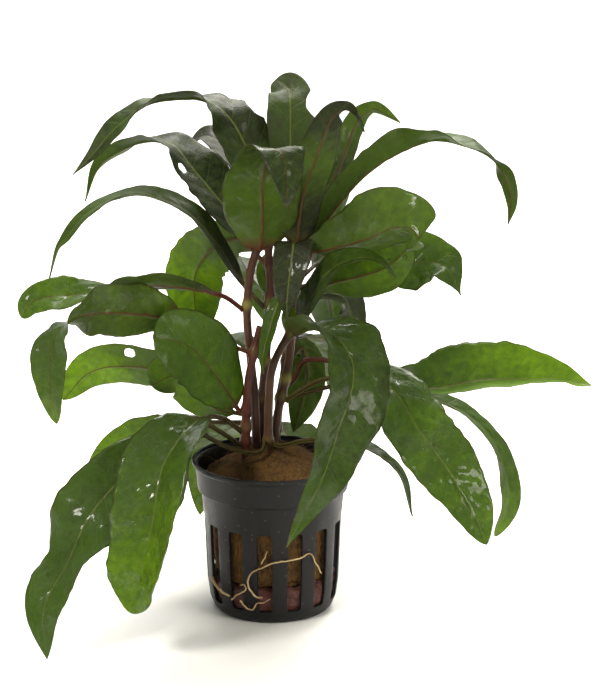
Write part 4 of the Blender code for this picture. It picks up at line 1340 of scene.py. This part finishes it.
def make_leaf(leaf, number):
    finish = FINISHES[leaf.name]
    length = leaf_length(leaf)
    rows = max(12, round(length / ROW_SPACING))
    deselect_all()
    bpy.ops.mesh.primitive_grid_add(x_subdivisions=COLUMNS, y_subdivisions=rows, size=2)
    piece = name_active(leaf.name + "_blade")
    flat = np.empty(len(piece.data.vertices) * 3, np.float32)
    piece.data.vertices.foreach_get("co", flat)
    flat = flat.reshape(-1, 3)

    row = np.rint((flat[:, 1] + 1) / 2 * rows).astype(int)
    share = np.sign(flat[:, 0]) * np.abs(flat[:, 0]) ** TIGHTER_NEAR_RIB
    out = np.abs(share)
    row_places = (1 - (1 - np.linspace(0, 1, rows + 1)) ** FINER_TO_TIP) * length
    half, _ = half_widths(leaf, row_places / length)
    row_full = np.clip(half * 2 / leaf.width, 0, 1)
    seed = number * 7.3
    right = margin_shares(finish, row_places, row_full, seed, 1)
    left = margin_shares(finish, row_places, row_full, seed, -1)
    across = share * half[row] * np.where(share > 0, right[row], left[row])
    along, across, gone = open_holes(finish.holes, row_places[row], across)

    middle, side, normal, fold = leaf_frame(leaf, along / length)
    _, blade = half_widths(leaf, along / length)
    full = row_full[row]
    fold = fold * np.clip((1 - blade) / FLAT_TIP, 0.2, 1)
    stalk = np.clip(1 - blade * 14, 0, 1)
    bend = 0.12 * half[row]
    upward = (np.sqrt(across**2 + bend**2) - bend) * np.sin(fold)
    upward = upward + relief(leaf, finish, along, across, out, full, row, row_places, seed) * (1 - stalk)
    upward = upward - 0.6 * stalk * out**2
    places = middle + side * (across * np.cos(fold))[:, None] + normal * upward[:, None]
    piece.data.vertices.foreach_set("co", (places * MM).astype(np.float32).ravel())

    tones = np.interp(along / length, np.linspace(0, 1, len(finish.tones)), finish.tones)
    rib = np.clip(0.55 * (1 - 0.75 * blade), 0.12, 1)
    alike = np.ones(len(row))
    store_point_values(piece, along=along, across=across, tone=tones, stalk=stalk, edge=out, rib=rib,
                       wet=alike * finish.wet, purple=alike * finish.purple, red=alike * finish.red)
    weights = piece.vertex_groups.new(name="thickness")
    for index, weight in enumerate(thickness_shares(across, out, blade, stalk)):
        weights.add([index], float(weight), "REPLACE")
    remove_points(piece, gone)
    give_thickness(piece, [leaf.name])
    return length


def remove_points(piece, gone):
    if gone:
        bpy.ops.object.mode_set(mode="EDIT")
        bpy.ops.mesh.select_mode(type="VERT")
        bpy.ops.mesh.select_all(action="DESELECT")
        bpy.ops.object.mode_set(mode="OBJECT")
        for index in gone:
            piece.data.vertices[index].select = True
        bpy.ops.object.mode_set(mode="EDIT")
        bpy.ops.mesh.delete(type="VERT")
        bpy.ops.object.mode_set(mode="OBJECT")


def give_thickness(piece, nodes):
    """Solidify by the point weights, with the underside's own finish."""
    piece.data.materials.append(LEAF_UPPER)
    piece.data.materials.append(LEAF_UNDER)
    thick = piece.modifiers.new("thickness", "SOLIDIFY")
    thick.thickness = STALK_THICKNESS * MM
    thick.offset = -1.0
    thick.vertex_group = "thickness"
    thick.thickness_vertex_group = 0.0
    thick.material_offset = 1
    apply_modifiers(piece)
    piece.vertex_groups.clear()
    bpy.ops.object.shade_smooth()
    faces = np.empty(len(piece.data.polygons), np.int32)
    piece.data.polygons.foreach_get("material_index", faces)
    finish_piece(piece, nodes, [LEAF_UPPER, LEAF_UNDER])
    piece.data.polygons.foreach_set("material_index", faces)


leaf_lengths = {}
for leaf_number, leaf_values in enumerate(LEAVES):
    leaf_lengths[leaf_values.name] = make_leaf(leaf_values, leaf_number)
print("leaves from", round(min(leaf_lengths.values())), "to", round(max(leaf_lengths.values())), "mm long")

# %% [markdown]
# ## Roots
#
# A few cream roots have grown out of the slots and lie against the pot. They taper, wander a little and
# branch. Their points are angles around the pot, heights and gaps to the wall, as in the plain model.

# %% Make the roots
ROOTS = {
    "root_long": (0.45, [(-8, 10.5, 0.4), (-14, 11, 0.5), (-20, 15, 0.6), (-17, 19, 0.6), (-9, 21, 0.5), (2, 23, 0.4),
                         (13, 23.5, 0.4), (23, 24, 0.4), (32, 25, 0.5), (38, 21, 0.4), (44, 17, 0.3)]),
    "root_branch": (0.35, [(-8.5, 22.6, 0.4), (-6, 24.5, 0.5), (-4, 27, 0.3)]),
    "root_left": (0.4, [(-36, 8.2, 0.5), (-31, 10.2, 0.4), (-26, 11.6, 0.4), (-21.8, 13, 0.5), (-23.5, 14.6, 0.5),
                        (-27.5, 14, 0.3)]),
    "root_loop": (0.4, [(-28, 8.4, 0.4), (-24, 6.6, 0.5), (-17, 5.8, 0.5), (-12.6, 8.4, 0.4), (-7, 8.6, 0.4),
                        (-2, 10.2, 0.4)]),
    "root_bundle": (0.7, [(-60, 13.6, 0.3), (-53, 11.6, 0.5), (-46, 10.2, 0.5), (-38.6, 9.4, 0.3)]),
}


ROOT_SLIMNESS = 0.75


def root_line(radius, points, seed):
    radii = [ring[0] for ring in POT_RINGS]
    heights = [ring[1] for ring in POT_RINGS]
    route = []
    for angle, height, gap in points:
        out = np.interp(height, heights, radii) + gap + radius
        turn = math.radians(angle)
        route.append((out * math.sin(turn), -out * math.cos(turn), height))
    route = smooth_route(route, 8)
    line = []
    for step, place in enumerate(route):
        wander = noise.noise_vector(Vector((step * 0.35, seed * 9.0, 0.0))) * 0.22
        taper = 1.0 - 0.4 * step / len(route) + 0.12 * noise.noise(Vector((step * 0.5, seed, 5.0)))
        line.append((place + np.array([wander.x, 0.0, wander.z]), ROOT_SLIMNESS * radius * taper))
    return line


def root_material():
    material, tree, shader = new_material("cream_root")
    place = object_place(tree)
    broad = place_group(tree, BLOTCHES, Place=place, Size=220.0, Contrast=0.25).outputs["Mask"]
    color = blend_colors(tree, broad, (0.22, 0.135, 0.05), (0.46, 0.34, 0.17))
    tree.links.new(color, shader.inputs["Base Color"])
    tree.links.new(remap(tree, broad, 0.0, 1.0, 0.45, 0.65), shader.inputs["Roughness"])
    return material


ROOT_SKIN = root_material()
for root_number, (root_name, (root_radius, root_points)) in enumerate(ROOTS.items()):
    root = make_tube(root_name + "_skin", [root_line(root_radius, root_points, root_number)], 3)
    finish_piece(root, [root_name], [ROOT_SKIN])
print(len(ROOTS), "roots")
